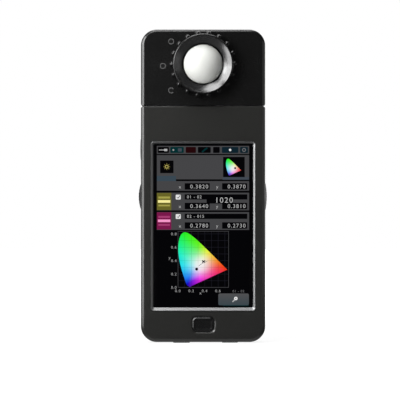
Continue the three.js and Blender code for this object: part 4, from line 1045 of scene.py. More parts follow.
@dataclass
class MenuKey:
    """The rubber key under the screen, in its dished surround."""

    corner_radius: float = 2.6
    flange: float = 1.0
    flange_thickness: float = 0.8
    groove_width: float = 1.2
    groove_depth: float = 0.42
    groove_lip: float = 0.1
    chamfer: float = 0.9
    chamfer_slope: float = 27.0
    edge: float = 0.3
    dish_margin: float = 1.3
    dish_depth: float = 0.22
    dish_start: float = 0.2  # of the dish's margin that stays flat inside the sloped edge
    least_radius: float = 0.3

    def outline(self, margin: float) -> np.ndarray:
        """The key's outline, widened by a margin."""
        radius = max(self.corner_radius + margin, self.least_radius)
        return Extent.of("menu_button").outline(margin - self.flange, radius)

    def openings(self) -> list[Shape]:
        """The key's hole and its dished surround in the front cover.

        The surround slopes straight down from a softened outer lip to the key's hole.

        Returns:
            The surround and the hole, as shapes to cut.
        """
        front = Extent.of("menu_button").front
        depths = front + np.array([0, self.groove_lip / 4, self.groove_depth])
        margins = [self.groove_width, self.groove_width - self.groove_lip, KEY_GAP]
        outlines = [self.outline(margin) for margin in margins]
        groove = lofted([front - OVERRUN, *depths], [outlines[0], *outlines])
        return [groove, plate(self.outline(KEY_GAP), front - OVERRUN, front + 3 * OVERRUN)]

    def build(self) -> None:
        """Makes the key: a dished face, a sloped edge, a wall and a hidden flange."""
        box = Extent.of("menu_button")
        depth, inset = bevel_rows(self.chamfer, self.chamfer_slope, self.edge, self.edge / 3)
        share = np.linspace(1, 0, 6)
        dish_depths = box.front + self.dish_depth * np.sin(share * math.pi / 2) ** 2
        dish_insets = self.chamfer + self.dish_margin * (self.dish_start + (1 - self.dish_start) * share)
        flange_front = box.back - self.flange_thickness
        depths = [*dish_depths, *(box.front + depth), flange_front, flange_front, box.back]
        insets = [*dish_insets, *inset, 0, -self.flange, -self.flange]
        shape = lofted(depths, [self.outline(-inset) for inset in insets])
        place("menu_key_cap", shape, "menu_key", KEY_RUBBER, "menu_button")


@dataclass
class SideKey:
    """A bowed rubber key in the side of the body."""

    node: str
    body: str
    name: str
    face: float  # side of the body, from its middle
    shoulder: float = 0.25
    flange: float = 1.0
    flange_thickness: float = 0.8
    corner_radius: float = 1.5
    edge: float = 0.5
    corner_keep: float = 0.9  # of a margin that the corner radius loses
    rib_count: int = 0
    rib_height: float = 0.16
    rib_end: float = 0.75  # share of the half length at which the ribs end
    rib_fade: float = 1.6  # how fast they fade towards it

    def sizes(self) -> tuple[float, float, float, float]:
        """Half depth, half length, inner x and outer x, all positive.

        Returns:
            The four in millimetres.
        """
        box = Extent.of(self.node)
        reach = sorted([abs(box.left), abs(box.right)])
        half_depth = (box.back - box.front) / 2 - self.flange
        half_length = (box.high - box.low) / 2 - self.flange
        return half_depth, half_length, reach[0], reach[1]

    def on_side(self, shape: Shape) -> Shape:
        """Brings a shape made on the right, about the X axis, to the key's place.

        Args:
            shape: the shape.

        Returns:
            The shape in its place.
        """
        box = Extent.of(self.node)
        _, middle_y, middle_z = box.middle
        sided = shape if box.right > 0 else shape.half_turned()
        return sided.moved(0, middle_y, middle_z)

    def opening(self, wall: float) -> Shape:
        """The key's rounded slot in the side wall.

        Args:
            wall: thickness of the wall.

        Returns:
            The slot as a shape to cut.
        """
        half_depth, half_length, _, _ = self.sizes()
        outline = rounded_outline(
            -half_depth - KEY_GAP, half_depth + KEY_GAP, -half_length - KEY_GAP,
            half_length + KEY_GAP, self.corner_radius + KEY_GAP,
        )
        slot = plate(outline, self.face - wall - OVERRUN, self.face + OVERRUN)
        depth, along, up = slot.points.T
        return self.on_side(Shape(rows_of(along, depth, up), slot.faces))

    def build(self) -> None:
        """Makes the key.

        Formula: rings of a rounded rectangle shrink from the edge to the middle, and every point stands
        out by the shoulder, plus the rise times the cosine of 90 degrees times its share of the half
        length, plus a fine ripple for the ribs, less the drop along the rounded edge.
        """
        half_depth, half_length, inner, outer = self.sizes()
        rise = max(outer - self.face - self.shoulder, 0)
        drop, inset = edge_rows(self.edge)

        def ring(margin: float) -> np.ndarray:
            """The key's outline drawn in by a margin, in y and z."""
            return rounded_outline(
                margin - half_depth, half_depth - margin, margin - half_length,
                half_length - margin, self.corner_radius - margin * self.corner_keep,
            )

        scales = np.linspace(0.02, 0.94, 12)
        rings = np.stack([ring(self.edge) * scale for scale in scales] + [ring(d) for d in inset])
        fall = np.concatenate([np.zeros(len(scales)), drop])[:, None]
        share = rings[..., 1] / half_length
        ribs = 0.5 - 0.5 * np.cos(share * self.rib_count * 2 * math.pi)
        fade = np.clip(self.rib_fade * (self.rib_end - np.abs(share)), 0, 1)
        ribs = ribs * fade * self.rib_height
        out = self.face + self.shoulder + rise * np.cos(share * math.pi / 2) - fall - ribs
        if rise == 0:
            out = out - self.shoulder + (outer - self.face)
        top = rows_of(out, rings[..., 0], rings[..., 1])
        wall = rows_of(inner, rings[-1:, :, 0], rings[-1:, :, 1])
        cap = self.on_side(solid_round(np.concatenate([top, wall])))
        flange = self.on_side(block(
            inner, inner + self.flange_thickness, -half_depth - self.flange,
            half_depth + self.flange, -half_length - self.flange, half_length + self.flange,
        ))
        mesh = worked(cap, Operation.JOIN, [flange])
        place(self.name, mesh, self.body, SIDE_RUBBER, self.node)


@dataclass
class Flap:
    """A rubber flap over a socket in the bottom face, and its pocket."""

    node: str
    body: str
    name: str
    corner_radius: float = 1.6
    edge: float = 0.3
    lip: float = 0.5

    def outline(self, margin: float) -> np.ndarray:
        """The flap's outline in the XY plane, widened by a margin."""
        return Extent.of(self.node).outline(margin, self.corner_radius + margin, flat=True, steps=8)

    def pocket(self) -> Shape:
        """The flap's pocket in the bottom wall."""
        top = Extent.of(self.node).high + FIT_GAP
        return plate(self.outline(FIT_GAP), -top, OVERRUN).laid_flat()

    def build(self) -> None:
        """Makes the flap: a plate with a rounded outer edge and a thinned lip."""
        box = Extent.of(self.node)
        depth, inset = edge_rows(self.edge)
        depths = [-box.high, *(-box.low - depth[::-1])]
        shape = lofted(depths, [self.outline(-drawn) for drawn in [0, *inset[::-1]]]).laid_flat()
        middle, quarter = box.middle[0], (box.right - box.left) / 4
        nail_slot = block(
            middle - quarter, middle + quarter, box.front - OVERRUN, box.front + self.lip,
            box.high / 2, box.high + OVERRUN,
        )
        mesh = worked(shape, Operation.CUT, [nail_slot])
        place(self.name, mesh, self.body, SOFT_RUBBER, self.node)


@dataclass
class Sockets:
    """The two sockets behind the flaps."""

    wall: float = 0.6
    floor: float = 1.5
    tongue_thickness: float = 0.7
    pin_radius: float = 0.6
    corner_radius: float = 0.7

    def openings(self) -> list[Shape]:
        """The holes in the bottom wall.

        Returns:
            The two holes as shapes to cut.
        """
        usb, sync = Extent.of("usb_socket"), Extent.of("sync_socket")
        usb_hole = block(usb.left, usb.right, usb.front, usb.back, 0, usb.low + OVERRUN)
        sync_hole = turned_upright(rod(sync.half_width, 0, sync.low + OVERRUN), 48)
        return [usb_hole, sync_hole.moved(*sync.middle[:2])]

    def build(self) -> None:
        """Makes the flat socket with its tongue and the round one with its pin."""
        usb, sync = Extent.of("usb_socket"), Extent.of("sync_socket")
        ceiling = usb.high - self.floor
        rows = [(usb.high, 0.0), (usb.low, 0.0), (usb.low, -self.wall), (ceiling, -self.wall)]
        outlines = [
            usb.outline(margin, self.corner_radius + margin, flat=True, steps=6) for _, margin in rows
        ]
        shell = lofted([-height for height, _ in rows], outlines).laid_flat()
        place("usb_shell", shell, "body", TIN_PLATE, "usb_socket")
        middle_y, half = usb.middle[1], self.tongue_thickness / 2
        tongue = block(
            usb.left + 3 * self.wall, usb.right - 3 * self.wall, middle_y - half, middle_y + half,
            usb.low + self.wall, ceiling,
        )
        place("usb_tongue", tongue, "body", BLACK_PLASTIC)
        radius, pin = sync.half_width, self.pin_radius
        bore, ceiling, tip = radius - self.wall, sync.high - self.floor, sync.low + self.floor
        profile = np.array([
            [0, sync.high], [radius, sync.high], [radius, sync.low], [bore, sync.low],
            [bore, ceiling], [pin, ceiling], [pin, tip], [0, tip],
        ])
        shell = turned_upright(profile, 48).moved(*sync.middle[:2])
        place("sync_shell", shell, "body", BRASS, "sync_socket")


# Battery bay and fixings


@dataclass
class BatteryBay:
    """The bay in the rear cover, its two cells, springs, cover and latch."""

    wall: float = 1.6
    back: float = 13.5
    cover_radius: float = 2.0
    latch_radius: float = 1.0
    latch_travel: float = 2.5
    latch_flange: float = 1.0
    latch_flange_thickness: float = 0.8
    groove_depth: float = 0.5
    groove_width: float = 0.8
    groove_pitch: float = 1.7
    groove_count: int = 3
    cover_grip_length: float = 14.0
    cover_grip_drop: float = 7.7  # from the top of the cover to the middle of its grooves
    edge: float = 0.3
    nub_radius: float = 2.75
    nub_height: float = 1.3
    cell_edge: float = 0.6
    crimp_depth: float = 0.55
    crimp_rise: float = 0.1
    rim_inset: float = 1.3
    rim_height: float = 0.35
    band: tuple[float, float] = (3.2, 9.0)  # from the nub to the ends of the jacket's pale band
    wire_radius: float = 0.35
    wide_radius: float = 4.4
    narrow_radius: float = 2.4
    spring_turns: float = 3.5
    contact_thickness: float = 0.5

    def space(self) -> Extent:
        """The free space of the bay, from the cells and the contacts.

        Returns:
            The box of that space.
        """
        left_cell, right_cell = Extent.of("battery_cell_left"), Extent.of("battery_cell_right")
        contact, bridge = Extent.of("battery_contact_left"), Extent.of("battery_bridge")
        return Extent(
            left_cell.left - FIT_GAP, right_cell.right + FIT_GAP, left_cell.front - FIT_GAP,
            self.back + OVERRUN, contact.low - FIT_GAP, bridge.high + FIT_GAP,
        )

    def box(self) -> Shape:
        """The walls of the bay as one block, before its space is cut."""
        space, wall = self.space(), self.wall
        return block(
            space.left - wall, space.right + wall, space.front - wall, self.back - OVERRUN,
            space.low - wall, space.high + wall,
        )

    def openings(self) -> list[Shape]:
        """The bay's space, the rebate for its cover and the slot of the latch.

        Returns:
            The three as shapes to cut.
        """
        space = self.space()
        cover, latch = Extent.of("battery_cover"), Extent.of("battery_latch")
        growth = KEY_GAP - self.latch_flange
        slot = rounded_outline(
            latch.left - growth, latch.right + growth, latch.low - growth,
            latch.high + growth + self.latch_travel, self.latch_radius,
        )
        return [
            block(space.left, space.right, space.front, space.back, space.low, space.high),
            plate(cover.outline(FIT_GAP, self.cover_radius), cover.front - FIT_GAP, self.back + OVERRUN),
            plate(slot, latch.front - OVERRUN, self.back + OVERRUN),
        ]

    def grooves(self, half_length: float, middle_z: float) -> list[Shape]:
        """Round-bottomed grooves across a plate in the back face.

        Args:
            half_length: half the length of each.
            middle_z: height of their middle.

        Returns:
            The grooves as shapes to cut.
        """
        half_width = self.groove_width / 2
        centres = (np.arange(self.groove_count) - (self.groove_count - 1) / 2) * self.groove_pitch
        outline = rounded_outline(-half_length, half_length, -half_width, half_width, half_width * 0.95)
        cutter = plate(outline, self.back - self.groove_depth, self.back + OVERRUN)
        return [cutter.moved(0, 0, middle_z + centre) for centre in centres]

    def build_cover(self) -> None:
        """Makes the battery cover: a plate with a softened edge and finger grooves."""
        cover = Extent.of("battery_cover")
        depth, inset = edge_rows(self.edge)
        depths = [cover.front, *(cover.back - depth[::-1])]
        radius = self.cover_radius - FIT_GAP
        outlines = [cover.outline(-drawn, radius - drawn) for drawn in [0, *inset[::-1]]]
        grip = self.grooves(self.cover_grip_length / 2, cover.high - self.cover_grip_drop)
        mesh = worked(lofted(depths, outlines), Operation.CUT, grip)
        place("battery_lid", mesh, "battery_door", BODY_PAINT, "battery_cover")

    def build_latch(self) -> None:
        """Makes the latch: a hidden flange, a button with a softened edge, and grooves."""
        latch = Extent.of("battery_latch")
        depth, inset = edge_rows(self.edge)
        flange_back = latch.front + self.latch_flange_thickness
        depths = [latch.front, flange_back, flange_back, *(latch.back - depth[::-1])]
        drawn = [0.0, 0.0, self.latch_flange, *(self.latch_flange + inset[::-1])]
        radius = self.latch_radius - KEY_GAP
        outlines = [latch.outline(-inward, max(radius - inward * 0.2, 0.3)) for inward in drawn]
        grip = self.grooves(latch.half_width - 2 * self.latch_flange, latch.middle[2])
        mesh = worked(lofted(depths, outlines), Operation.CUT, grip)
        place("latch_slider", mesh, "door_latch", BLACK_PLASTIC, "battery_latch")

    def cell_profile(self, low: float, high: float, upward: bool) -> np.ndarray:
        """Rows of radius and height of a cell, from its nub to its flat end.

        Args:
            low: lowest height of the cell.
            high: highest height of the cell.
            upward: whether the nub points up.

        Returns:
            The profile, with a crimp under each end of the jacket.
        """
        radius, length = Extent.of("battery_cell_left").half_width, high - low
        nub, shoulder, edge = self.nub_radius, self.nub_height, self.edge
        rim, crimp = radius - self.rim_inset, radius - self.crimp_depth
        fall = np.array([
            [0, 0], [nub - edge, 0], [nub, edge], [nub, shoulder],
            [rim - edge, shoulder], [rim, shoulder + self.rim_height], [crimp, shoulder + self.crimp_rise],
            [radius, shoulder + self.cell_edge], [radius, length - self.cell_edge],
            [crimp, length - self.crimp_rise], [rim, length - self.rim_height], [rim - 3 * edge, length],
            [0, length],
        ])
        heights = high - fall[:, 1] if upward else low + fall[:, 1]
        return rows_of(fall[:, 0], heights)

    def build_cells(self) -> None:
        """Makes the two cells, which stand opposite ways."""
        for side, upward in (("left", True), ("right", False)):
            node = f"battery_cell_{side}"
            box, (near, far) = Extent.of(node), self.band
            ends = (box.high - far, box.high - near) if upward else (box.low + near, box.low + far)
            nub = self.nub_height
            jacket = JacketFinish(
                "cell_jacket", (40, 66, 96), (52, 84, 118), 0.3, coat=0.4, grain_size=0.3,
                relief=0.001, band_low=ends[0], band_high=ends[1],
                cap_low=box.low + (0 if upward else nub) + self.cell_edge,
                cap_high=box.high - (nub if upward else 0) - self.cell_edge,
            )
            shape = turned_upright(self.cell_profile(box.low, box.high, upward), 64)
            place(f"cell_{side}", shape.moved(*box.middle[:2]), "body", jacket, node)

    def coil(self, start: float, rise: float) -> Shape:
        """A coned spring along Z.

        Formula: at a share s of the wire the radius runs straight from the wide to the narrow one, the
        angle is s times the turns, and the height is the start plus s times the rise.

        Args:
            start: height of the wire's wide end.
            rise: height of its narrow end over that one.

        Returns:
            The spring about the Z axis.
        """
        share = np.linspace(0, 1, int(self.spring_turns * 28))
        radius = self.wide_radius + (self.narrow_radius - self.wide_radius) * share
        angle = share * self.spring_turns * 2 * math.pi
        height = start + share * rise
        path = rows_of(radius * np.cos(angle), radius * np.sin(angle), height)
        return swept(path, self.wire_radius)

    def build_contacts(self) -> None:
        """Makes the sheet contacts and their springs."""
        for node, spring_up in (("battery_contact_left", True), ("battery_bridge", False)):
            box, thickness = Extent.of(node), self.contact_thickness
            cell = Extent.of("battery_cell_left" if spring_up else "battery_cell_right")
            low = box.low if spring_up else box.high - thickness
            sheet = block(box.left, box.right, box.front, box.back, low, low + thickness)
            start = low + thickness if spring_up else low
            length = (box.high - box.low) - thickness - self.wire_radius
            spring = self.coil(start, length if spring_up else -length)
            mesh = worked(sheet, Operation.JOIN, [spring.moved(cell.middle[0], box.middle[1])])
            place(f"{node}_sprung", mesh, "body", STEEL, node)

    def build(self) -> None:
        """Makes everything in the bay."""
        self.build_cover()
        self.build_latch()
        self.build_cells()
        self.build_contacts()


@dataclass
class Screws:
    """Pan-head screws with a cross recess, sunk in the back of a housing."""

    housing: Housing
    node: str
    body: str
    cross_width: float = 0.6
    cross_reach: float = 1.3
    cross_depth: float = 0.8
    crown: float = 0.7

    def build(self) -> None:
        """Makes the four screws of the housing.

        Formula: the crown of the head is a quarter of an ellipse, as wide as the crown's share of the
        head and as high as the crown.
        """
        first = Extent.of(f"{self.node}_1")
        radius, under = first.half_width, first.back - 2 * self.crown
        shaft = radius / 2
        angle = np.linspace(0, math.pi / 2, 8)
        crown = rows_of(
            radius - self.crown * (1 - np.cos(angle)), first.back - self.crown * (1 - np.sin(angle)),
        )
        profile = np.concatenate([
            [[0, first.front], [shaft, first.front + shaft], [shaft, under], [radius, under]],
            crown, [[0, first.back]],
        ])
        narrow, reach = self.cross_width / 2, self.cross_reach
        arms = [
            block(-half_x, half_x, first.back - self.cross_depth, first.back + OVERRUN, -half_z, half_z)
            for half_x, half_z in ((narrow, reach), (reach, narrow))
        ]
        for number, (x, z) in enumerate(self.housing.boss_places(), start=1):
            cutters = [arm.moved(x, 0, z) for arm in arms]
            mesh = worked(turned(profile, 40).moved(x, 0, z), Operation.CUT, cutters)
            node = f"{self.node}_{number}"
            place(f"{node}_cross", mesh, self.body, STEEL, node)


@dataclass
class TripodNut:
    """The brass nut in the back, with its thread."""

    pitch: float = 1.27
    thread_depth: float = 0.5
    rows_each_turn: int = 10
    steps: int = 48
    bore_radius: float = 2.6
    boss_radius: float = 7.0
    edge: float = 0.2
    lead_share: float = 0.125  # of the bore's length over which the thread starts
    wall: float = 2.0

    def boss(self) -> Shape:
        """The boss round the nut inside the rear cover."""
        box, radius = Extent.of("tripod_nut"), self.boss_radius
        return turned(rod(radius, box.front - self.wall, box.back - OVERRUN), 64).moved(0, 0, box.middle[2])

    def hole(self) -> Shape:
        """The nut's seat in the rear cover."""
        box = Extent.of("tripod_nut")
        profile = rod(box.half_width + PRESS_GAP, box.front - PRESS_GAP, box.back + OVERRUN)
        return turned(profile, 64).moved(0, 0, box.middle[2])

    def build(self) -> None:
        """Makes the nut.

        Formula: the bore's radius at depth y and angle a is the bore radius plus the thread depth times
        a triangle wave of y / pitch + a / 360 degrees, which runs from 0 to 1 and back once a turn.
        """
        box = Extent.of("tripod_nut")
        radius = box.half_width
        turns = (box.back - box.front) / self.pitch
        inside = self.edge / 10
        depth = np.linspace(box.back - inside, box.front + inside, int(turns * self.rows_each_turn))
        angle = np.arange(self.steps) * 2 * math.pi / self.steps
        phase = (depth[:, None] / self.pitch + angle[None, :] / (2 * math.pi)) % 1.0
        bore = self.bore_radius + self.thread_depth * (1 - np.abs(2 * phase - 1))
        lead_in = np.linspace(0, 1, len(depth))[:, None] / self.lead_share
        bore = np.maximum(bore, self.bore_radius + self.thread_depth * (1 - np.minimum(lead_in, 1)))
        edge = self.edge
        outer = np.array([
            [self.bore_radius + edge, box.front], [radius - edge, box.front], [radius, box.front + edge],
            [radius, box.back - edge], [radius - edge, box.back],
            [self.bore_radius + self.thread_depth + edge / 4, box.back],
        ])
        radii = np.concatenate([np.repeat(outer[:, :1], self.steps, axis=1), bore])
        depths = np.concatenate([outer[:, 1], depth])
        points = rows_of(radii * np.cos(angle), depths[:, None], radii * np.sin(angle))
        shape = Shape(points.reshape(-1, 3), grid_faces(len(depths), self.steps, True, True))
        place("tripod_thread", shape.moved(0, 0, box.middle[2]), "body", BRASS, "tripod_nut")


# Screen


class Ink(Enum):
    """Display colours of the picture, 0 to 255."""

    BLACK = (3, 3, 5)
    PANEL = (70, 70, 72)
    PANEL_BLUE = (66, 74, 84)
    DIM = (112, 112, 114)
    TEAL = (0, 46, 48)
    DARK_RED = (36, 5, 8)
    ICON_BLUE = (12, 34, 44)
    WHITE = (236, 236, 236)
    TEXT = (184, 184, 184)
    NUMBER = (160, 160, 160)
    TAB = (58, 73, 84)
    SUN = (168, 158, 84)
    OLIVE = (106, 102, 40)
    OLIVE_LINE = (168, 162, 76)
    YELLOW = (255, 246, 160)
    WINE = (124, 24, 76)
    WINE_LINE = (170, 62, 116)
    PINK = (255, 156, 208)
    CHART_FRAME = (72, 72, 74)
    CHART_GRID = (30, 30, 38)
    MARK = (24, 16, 30)
    BUTTON_TOP = (82, 82, 84)
    BUTTON_FOOT = (60, 72, 78)

    @property
    def light(self) -> tuple[float, ...]:
        """The colour as linear light."""
        return linear(*self.value)


@dataclass
class ChromaticityChart:
    """The horseshoe of all visible colours, by the usual two coordinates.

    Attributes:
        origin: cell of the picture where both coordinates are 0.
        unit: cells for 1 unit of a coordinate.
    """

    origin: tuple[float, float]
    unit: float
    white: tuple[float, float] = (0.333, 0.345)
    red_end: tuple[float, float] = (0.7347, 0.2653)
    pale_reach: float = 0.13
    pale_share: float = 0.9
    plain_share: float = 0.42
    plain_height: float = 0.45
    light_span: tuple[float, float] = (0.01, 0.93)
    foot_light: float = 0.4
    foot_rise: float = 4.0

    @staticmethod
    def lobe(wave: np.ndarray, height: float, centre: float, below: float, above: float) -> np.ndarray:
        """A bell curve whose width differs below and above its centre."""
        width = np.where(wave < centre, below, above)
        return height * np.exp(-0.5 * ((wave - centre) / width) ** 2)

    def boundary(self) -> np.ndarray:
        """Points of the horseshoe's edge, from violet round to red.

        Formula: three response curves are sums of two or three bell curves of the wavelength, and each
        coordinate is one response over their sum.

        Returns:
            Rows of x and y.
        """
        wave = np.linspace(405, 636, 110)
        red = (
            self.lobe(wave, 1.056, 599.8, 37.9, 31.0) + self.lobe(wave, 0.362, 442.0, 16.0, 26.7)
            - self.lobe(wave, 0.065, 501.1, 20.4, 26.2)
        )
        green = self.lobe(wave, 0.821, 568.8, 46.9, 40.5) + self.lobe(wave, 0.286, 530.9, 16.3, 31.1)
        blue = self.lobe(wave, 1.217, 437.0, 11.8, 36.0) + self.lobe(wave, 0.681, 459.0, 26.0, 13.8)
        total = red + green + blue
        spectrum = rows_of(red / total, green / total)
        spectrum = np.concatenate([spectrum, [self.red_end]])
        share = np.linspace(0, 1, 42)[1:-1, None]
        purples = spectrum[-1] * (1 - share) + spectrum[0] * share
        return np.concatenate([spectrum, purples])

    def light(self, place_xy: np.ndarray) -> np.ndarray:
        """Linear colour of a place on the chart.

        Formula: the place gives the three responses x / y, 1 and (1 - x - y) / y, a matrix turns them
        into red, green and blue, values below 0 become 0 and the largest becomes 1. They are mixed with
        the coordinates x, y and 1 - x - y, divided by the largest and to the power 1.5, whose share
        grows with the square of y. A bell curve round the white point pales the mix, and the foot of
        the chart is dimmed.

        Args:
            place_xy: places on the chart.

        Returns:
            Red, green and blue for each place.
        """
        x, y = place_xy[..., 0], np.maximum(place_xy[..., 1], 0.002)
        responses = rows_of(x / y, 1.0, (1 - x - y) / y)
        matrix = np.array([
            [3.2406, -1.5372, -0.4986], [-0.9689, 1.8758, 0.0415], [0.0557, -0.2040, 1.0570],
        ])
        light = np.clip(responses @ matrix.T, 0, None)
        plain = np.clip(responses * y[..., None], 0, None)
        plain[..., 1] = y
        light, plain = (each / each.max(axis=-1, keepdims=True) for each in (light, plain))
        share = self.plain_share * np.clip(y / self.plain_height, 0, 1)[..., None] ** 2
        light = light * (1 - share) + plain**1.5 * share
        away = np.hypot(x - self.white[0], y - self.white[1])[..., None] / self.pale_reach
        light = light + (1 - light) * self.pale_share * np.exp(-(away**2))
        darkest, lightest = self.light_span
        dimmed = np.clip(self.foot_light + self.foot_rise * y, 0, 1)[..., None]
        return (darkest + (lightest - darkest) * light) * dimmed

    def cells(self, place_xy: np.ndarray) -> np.ndarray:
        """Cells of the picture for places on the chart."""
        return np.array(self.origin) + place_xy * np.array([1, -1]) * self.unit

    def reach(self, angle: np.ndarray) -> np.ndarray:
        """Distance from the white point to the edge in each direction.

        Args:
            angle: directions in radians.

        Returns:
            The distances.
        """
        away = self.boundary() - np.array(self.white)
        edge_angle = np.arctan2(away[:, 1], away[:, 0])
        order = np.argsort(edge_angle)
        return np.interp(angle, edge_angle[order], np.hypot(*away.T)[order], period=2 * math.pi)

    def ink_at(self, place_xy: np.ndarray, shade: float) -> np.ndarray:
        """Colour of a grid line: shaded inside the horseshoe, dark outside it.

        Args:
            place_xy: places on the chart.
            shade: brightness inside the horseshoe.

        Returns:
            A linear colour for each place.
        """
        away = place_xy - np.array(self.white)
        inside = np.hypot(away[..., 0], away[..., 1]) < self.reach(np.arctan2(away[..., 1], away[..., 0]))
        outside = np.array(Ink.CHART_GRID.light[:3])
        return np.where(inside[..., None], self.light(place_xy) * shade, outside)


@dataclass
class DisplayPicture:
    """The picture on the screen, drawn in cells from its top left corner.

    Attributes:
        cell: millimetres in one cell.
        left, top: the picture's top left corner.
        front: depth of the glass's face.
        layer_step: how far each layer lies before the one under it.
        layer_thickness: thickness of a layer, less than the step.
    """

    cell: float
    left: float
    top: float
    front: float
    layer_step: float = 0.012
    layer_thickness: float = 0.008
    points: list[np.ndarray] = field(default_factory=list)
    inks: list[np.ndarray] = field(default_factory=list)
    faces: list[list[int]] = field(default_factory=list)

    def add(self, cells: np.ndarray, faces: list[list[int]], ink: np.ndarray, layer: int) -> None:
        """Adds faces to the picture.

        Args:
            cells: an (n, 2) array of cells across and down.
            faces: faces over those points.
            ink: linear colours, one for each point or one for all.
            layer: 0 for the ground, and more for what lies on it.
        """
        start = sum(len(block_points) for block_points in self.points)
        x, z = self.left + cells[:, 0] * self.cell, self.top - cells[:, 1] * self.cell
        self.points.append(rows_of(x, self.front - (layer + 1) * self.layer_step, z))
        self.inks.append(np.broadcast_to(np.asarray(ink)[..., :3], (len(cells), 3)))
        self.faces.extend([start + corner for corner in face] for face in faces)

    def panel(
        self, left: float, top: float, right: float, foot: float, ink: Ink, layer: int,
        foot_ink: Ink | None = None, radius: float = 0.0,
    ) -> None:
        """Adds a rectangle.

        Args:
            left, top, right, foot: its sides in cells.
            ink: its colour, or its colour at the top.
            layer: the layer that it lies in.
            foot_ink: its colour at the foot, where that differs.
            radius: radius of its corners.
        """
        outline = rounded_outline(left, right, top, foot, max(radius, 0.01), steps=6 if radius else 1)
        share = ((outline[:, 1] - top) / (foot - top))[:, None]
        high, low = (np.array(each.light[:3]) for each in (ink, foot_ink or ink))
        self.add(outline, [list(reversed(range(len(outline))))], high * (1 - share) + low * share, layer)

    def words(self, words: str, left: float, base: float, height: float, ink: Ink, layer: int) -> None:
        """Adds numbers or a letter, from its left end and its base line."""
        letters = text_shape(words, height)
        self.add(letters.points[:, [0, 2]] * (1, -1) + (left, base), letters.faces, ink.light, layer)

    def disc(self, across: float, down: float, inner: float, outer: float, ink: Ink, layer: int) -> None:
        """Adds a ring or a disc as a grid of two circles."""
        disc = turned(np.array([[max(inner, 0.01), 0], [outer, 0]]), 28)
        self.add(disc.points[:, [0, 2]] + (across, down), disc.faces, ink.light, layer)

    def stroke(self, path: list | np.ndarray, width: float, ink: np.ndarray, layer: int) -> None:
        """Adds a line along a path, half its width to each side of it.

        Args:
            path: the line's points in cells.
            width: the line's width.
            ink: linear colours, one for each point or one for all.
            layer: the layer that it lies in.
        """
        tangent = unit(np.gradient(np.array(path, float), axis=0))
        aside = rows_of(tangent[:, 1], -tangent[:, 0]) * width / 2
        colours = np.concatenate([ink, ink]) if np.ndim(ink) > 1 else ink
        faces = grid_faces(2, len(path), False, False)
        self.add(np.concatenate([path + aside, path - aside]), faces, colours, layer)

    def horseshoe(self, chart: ChromaticityChart, layer: int) -> None:
        """Adds the coloured area as rings round the white point.

        Args:
            chart: the chart.
            layer: the layer that it lies in.
        """
        share = np.linspace(0.004, 1, 34)[:, None, None]
        places = np.array(chart.white) * (1 - share) + chart.boundary()[None] * share
        flat = places.reshape(-1, 2)
        self.add(chart.cells(flat), grid_faces(*places.shape[:2], False, True), chart.light(flat), layer)

    def status_bar(self) -> None:
        """Draws the row of small symbols along the top."""
        self.panel(0.3, 0.4, 92.6, 8.4, Ink.PANEL, 1)
        symbols = [
            (1.2, 12.4, Ink.BLACK), (13.8, 27.2, Ink.TEAL), (29.2, 39.4, Ink.DARK_RED),
            (41.4, 54.2, Ink.BLACK), (56.6, 63.2, Ink.BLACK), (65.4, 81.8, Ink.ICON_BLUE),
            (83.6, 91.4, Ink.ICON_BLUE),
        ]
        for left, right, ink in symbols:
            self.panel(left, 1.4, right, 7.4, ink, 2, radius=0.8)
        self.panel(2.4, 4.1, 8.2, 4.8, Ink.TEXT, 3)
        self.panel(7.4, 3.3, 10.8, 5.6, Ink.TEXT, 3, radius=0.6)
        self.disc(16.8, 4.4, 0, 0.9, Ink.NUMBER, 3)
        self.panel(21.4, 2.8, 25.2, 6.0, Ink.PANEL_BLUE, 3, radius=0.5)
        self.stroke([[45.5, 6.6], [48.0, 4.4], [50.8, 2.2]], 1.6, Ink.TEAL.light, 3)
        self.disc(73.6, 4.4, 0, 1.2, Ink.WHITE, 3)
        self.disc(87.5, 4.4, 1.1, 1.9, Ink.DIM, 3)

    def header(self, chart: ChromaticityChart) -> None:
        """Draws the panel with the light-source symbol and the small chart.

        Args:
            chart: the chart.
        """
        self.panel(0.3, 9.6, 92.6, 33.8, Ink.PANEL, 1)
        self.panel(0.3, 30.4, 19.4, 35.6, Ink.TAB, 2)
        self.panel(66.0, 31.6, 92.6, 34.2, Ink.PANEL_BLUE, 2)
        self.panel(3.6, 15.0, 17.0, 27.6, Ink.BLACK, 2, radius=0.4)
        self.disc(10.2, 21.2, 1.0, 2.0, Ink.SUN, 3)
        for angle in np.arange(8) * math.pi / 4:
            ray = np.array([math.cos(angle), math.sin(angle)])
            self.stroke([ray * reach + (10.2, 21.2) for reach in (2.5, 3.2)], 0.45, Ink.SUN.light, 3)
        self.panel(66.6, 11.4, 88.2, 31.6, Ink.BLACK, 3)
        self.horseshoe(chart, 4)
        self.disc(78.6, 22.6, 0, 1.0, Ink.MARK, 5)

    def reading(self, top: float, foot: float, base: float, values: tuple[str, str]) -> None:
        """Draws one row of readings: two letters and two numbers in dark boxes.

        Args:
            top, foot: upper and lower side of the row.
            base: base line of its words.
            values: the two numbers.
        """
        self.panel(0.3, top, 92.6, foot, Ink.PANEL, 1)
        for letter, value, left in (("x", values[0], 22.2), ("y", values[1], 59.6)):
            self.words(letter, left, base, 3.4, Ink.TEXT, 3)
            self.panel(left + 6.0, base - 5.2, left + 31.0, base + 1.2, Ink.BLACK, 2, radius=0.3)
            self.words(value, left + 11.4, base, 4.0, Ink.TEXT, 3)

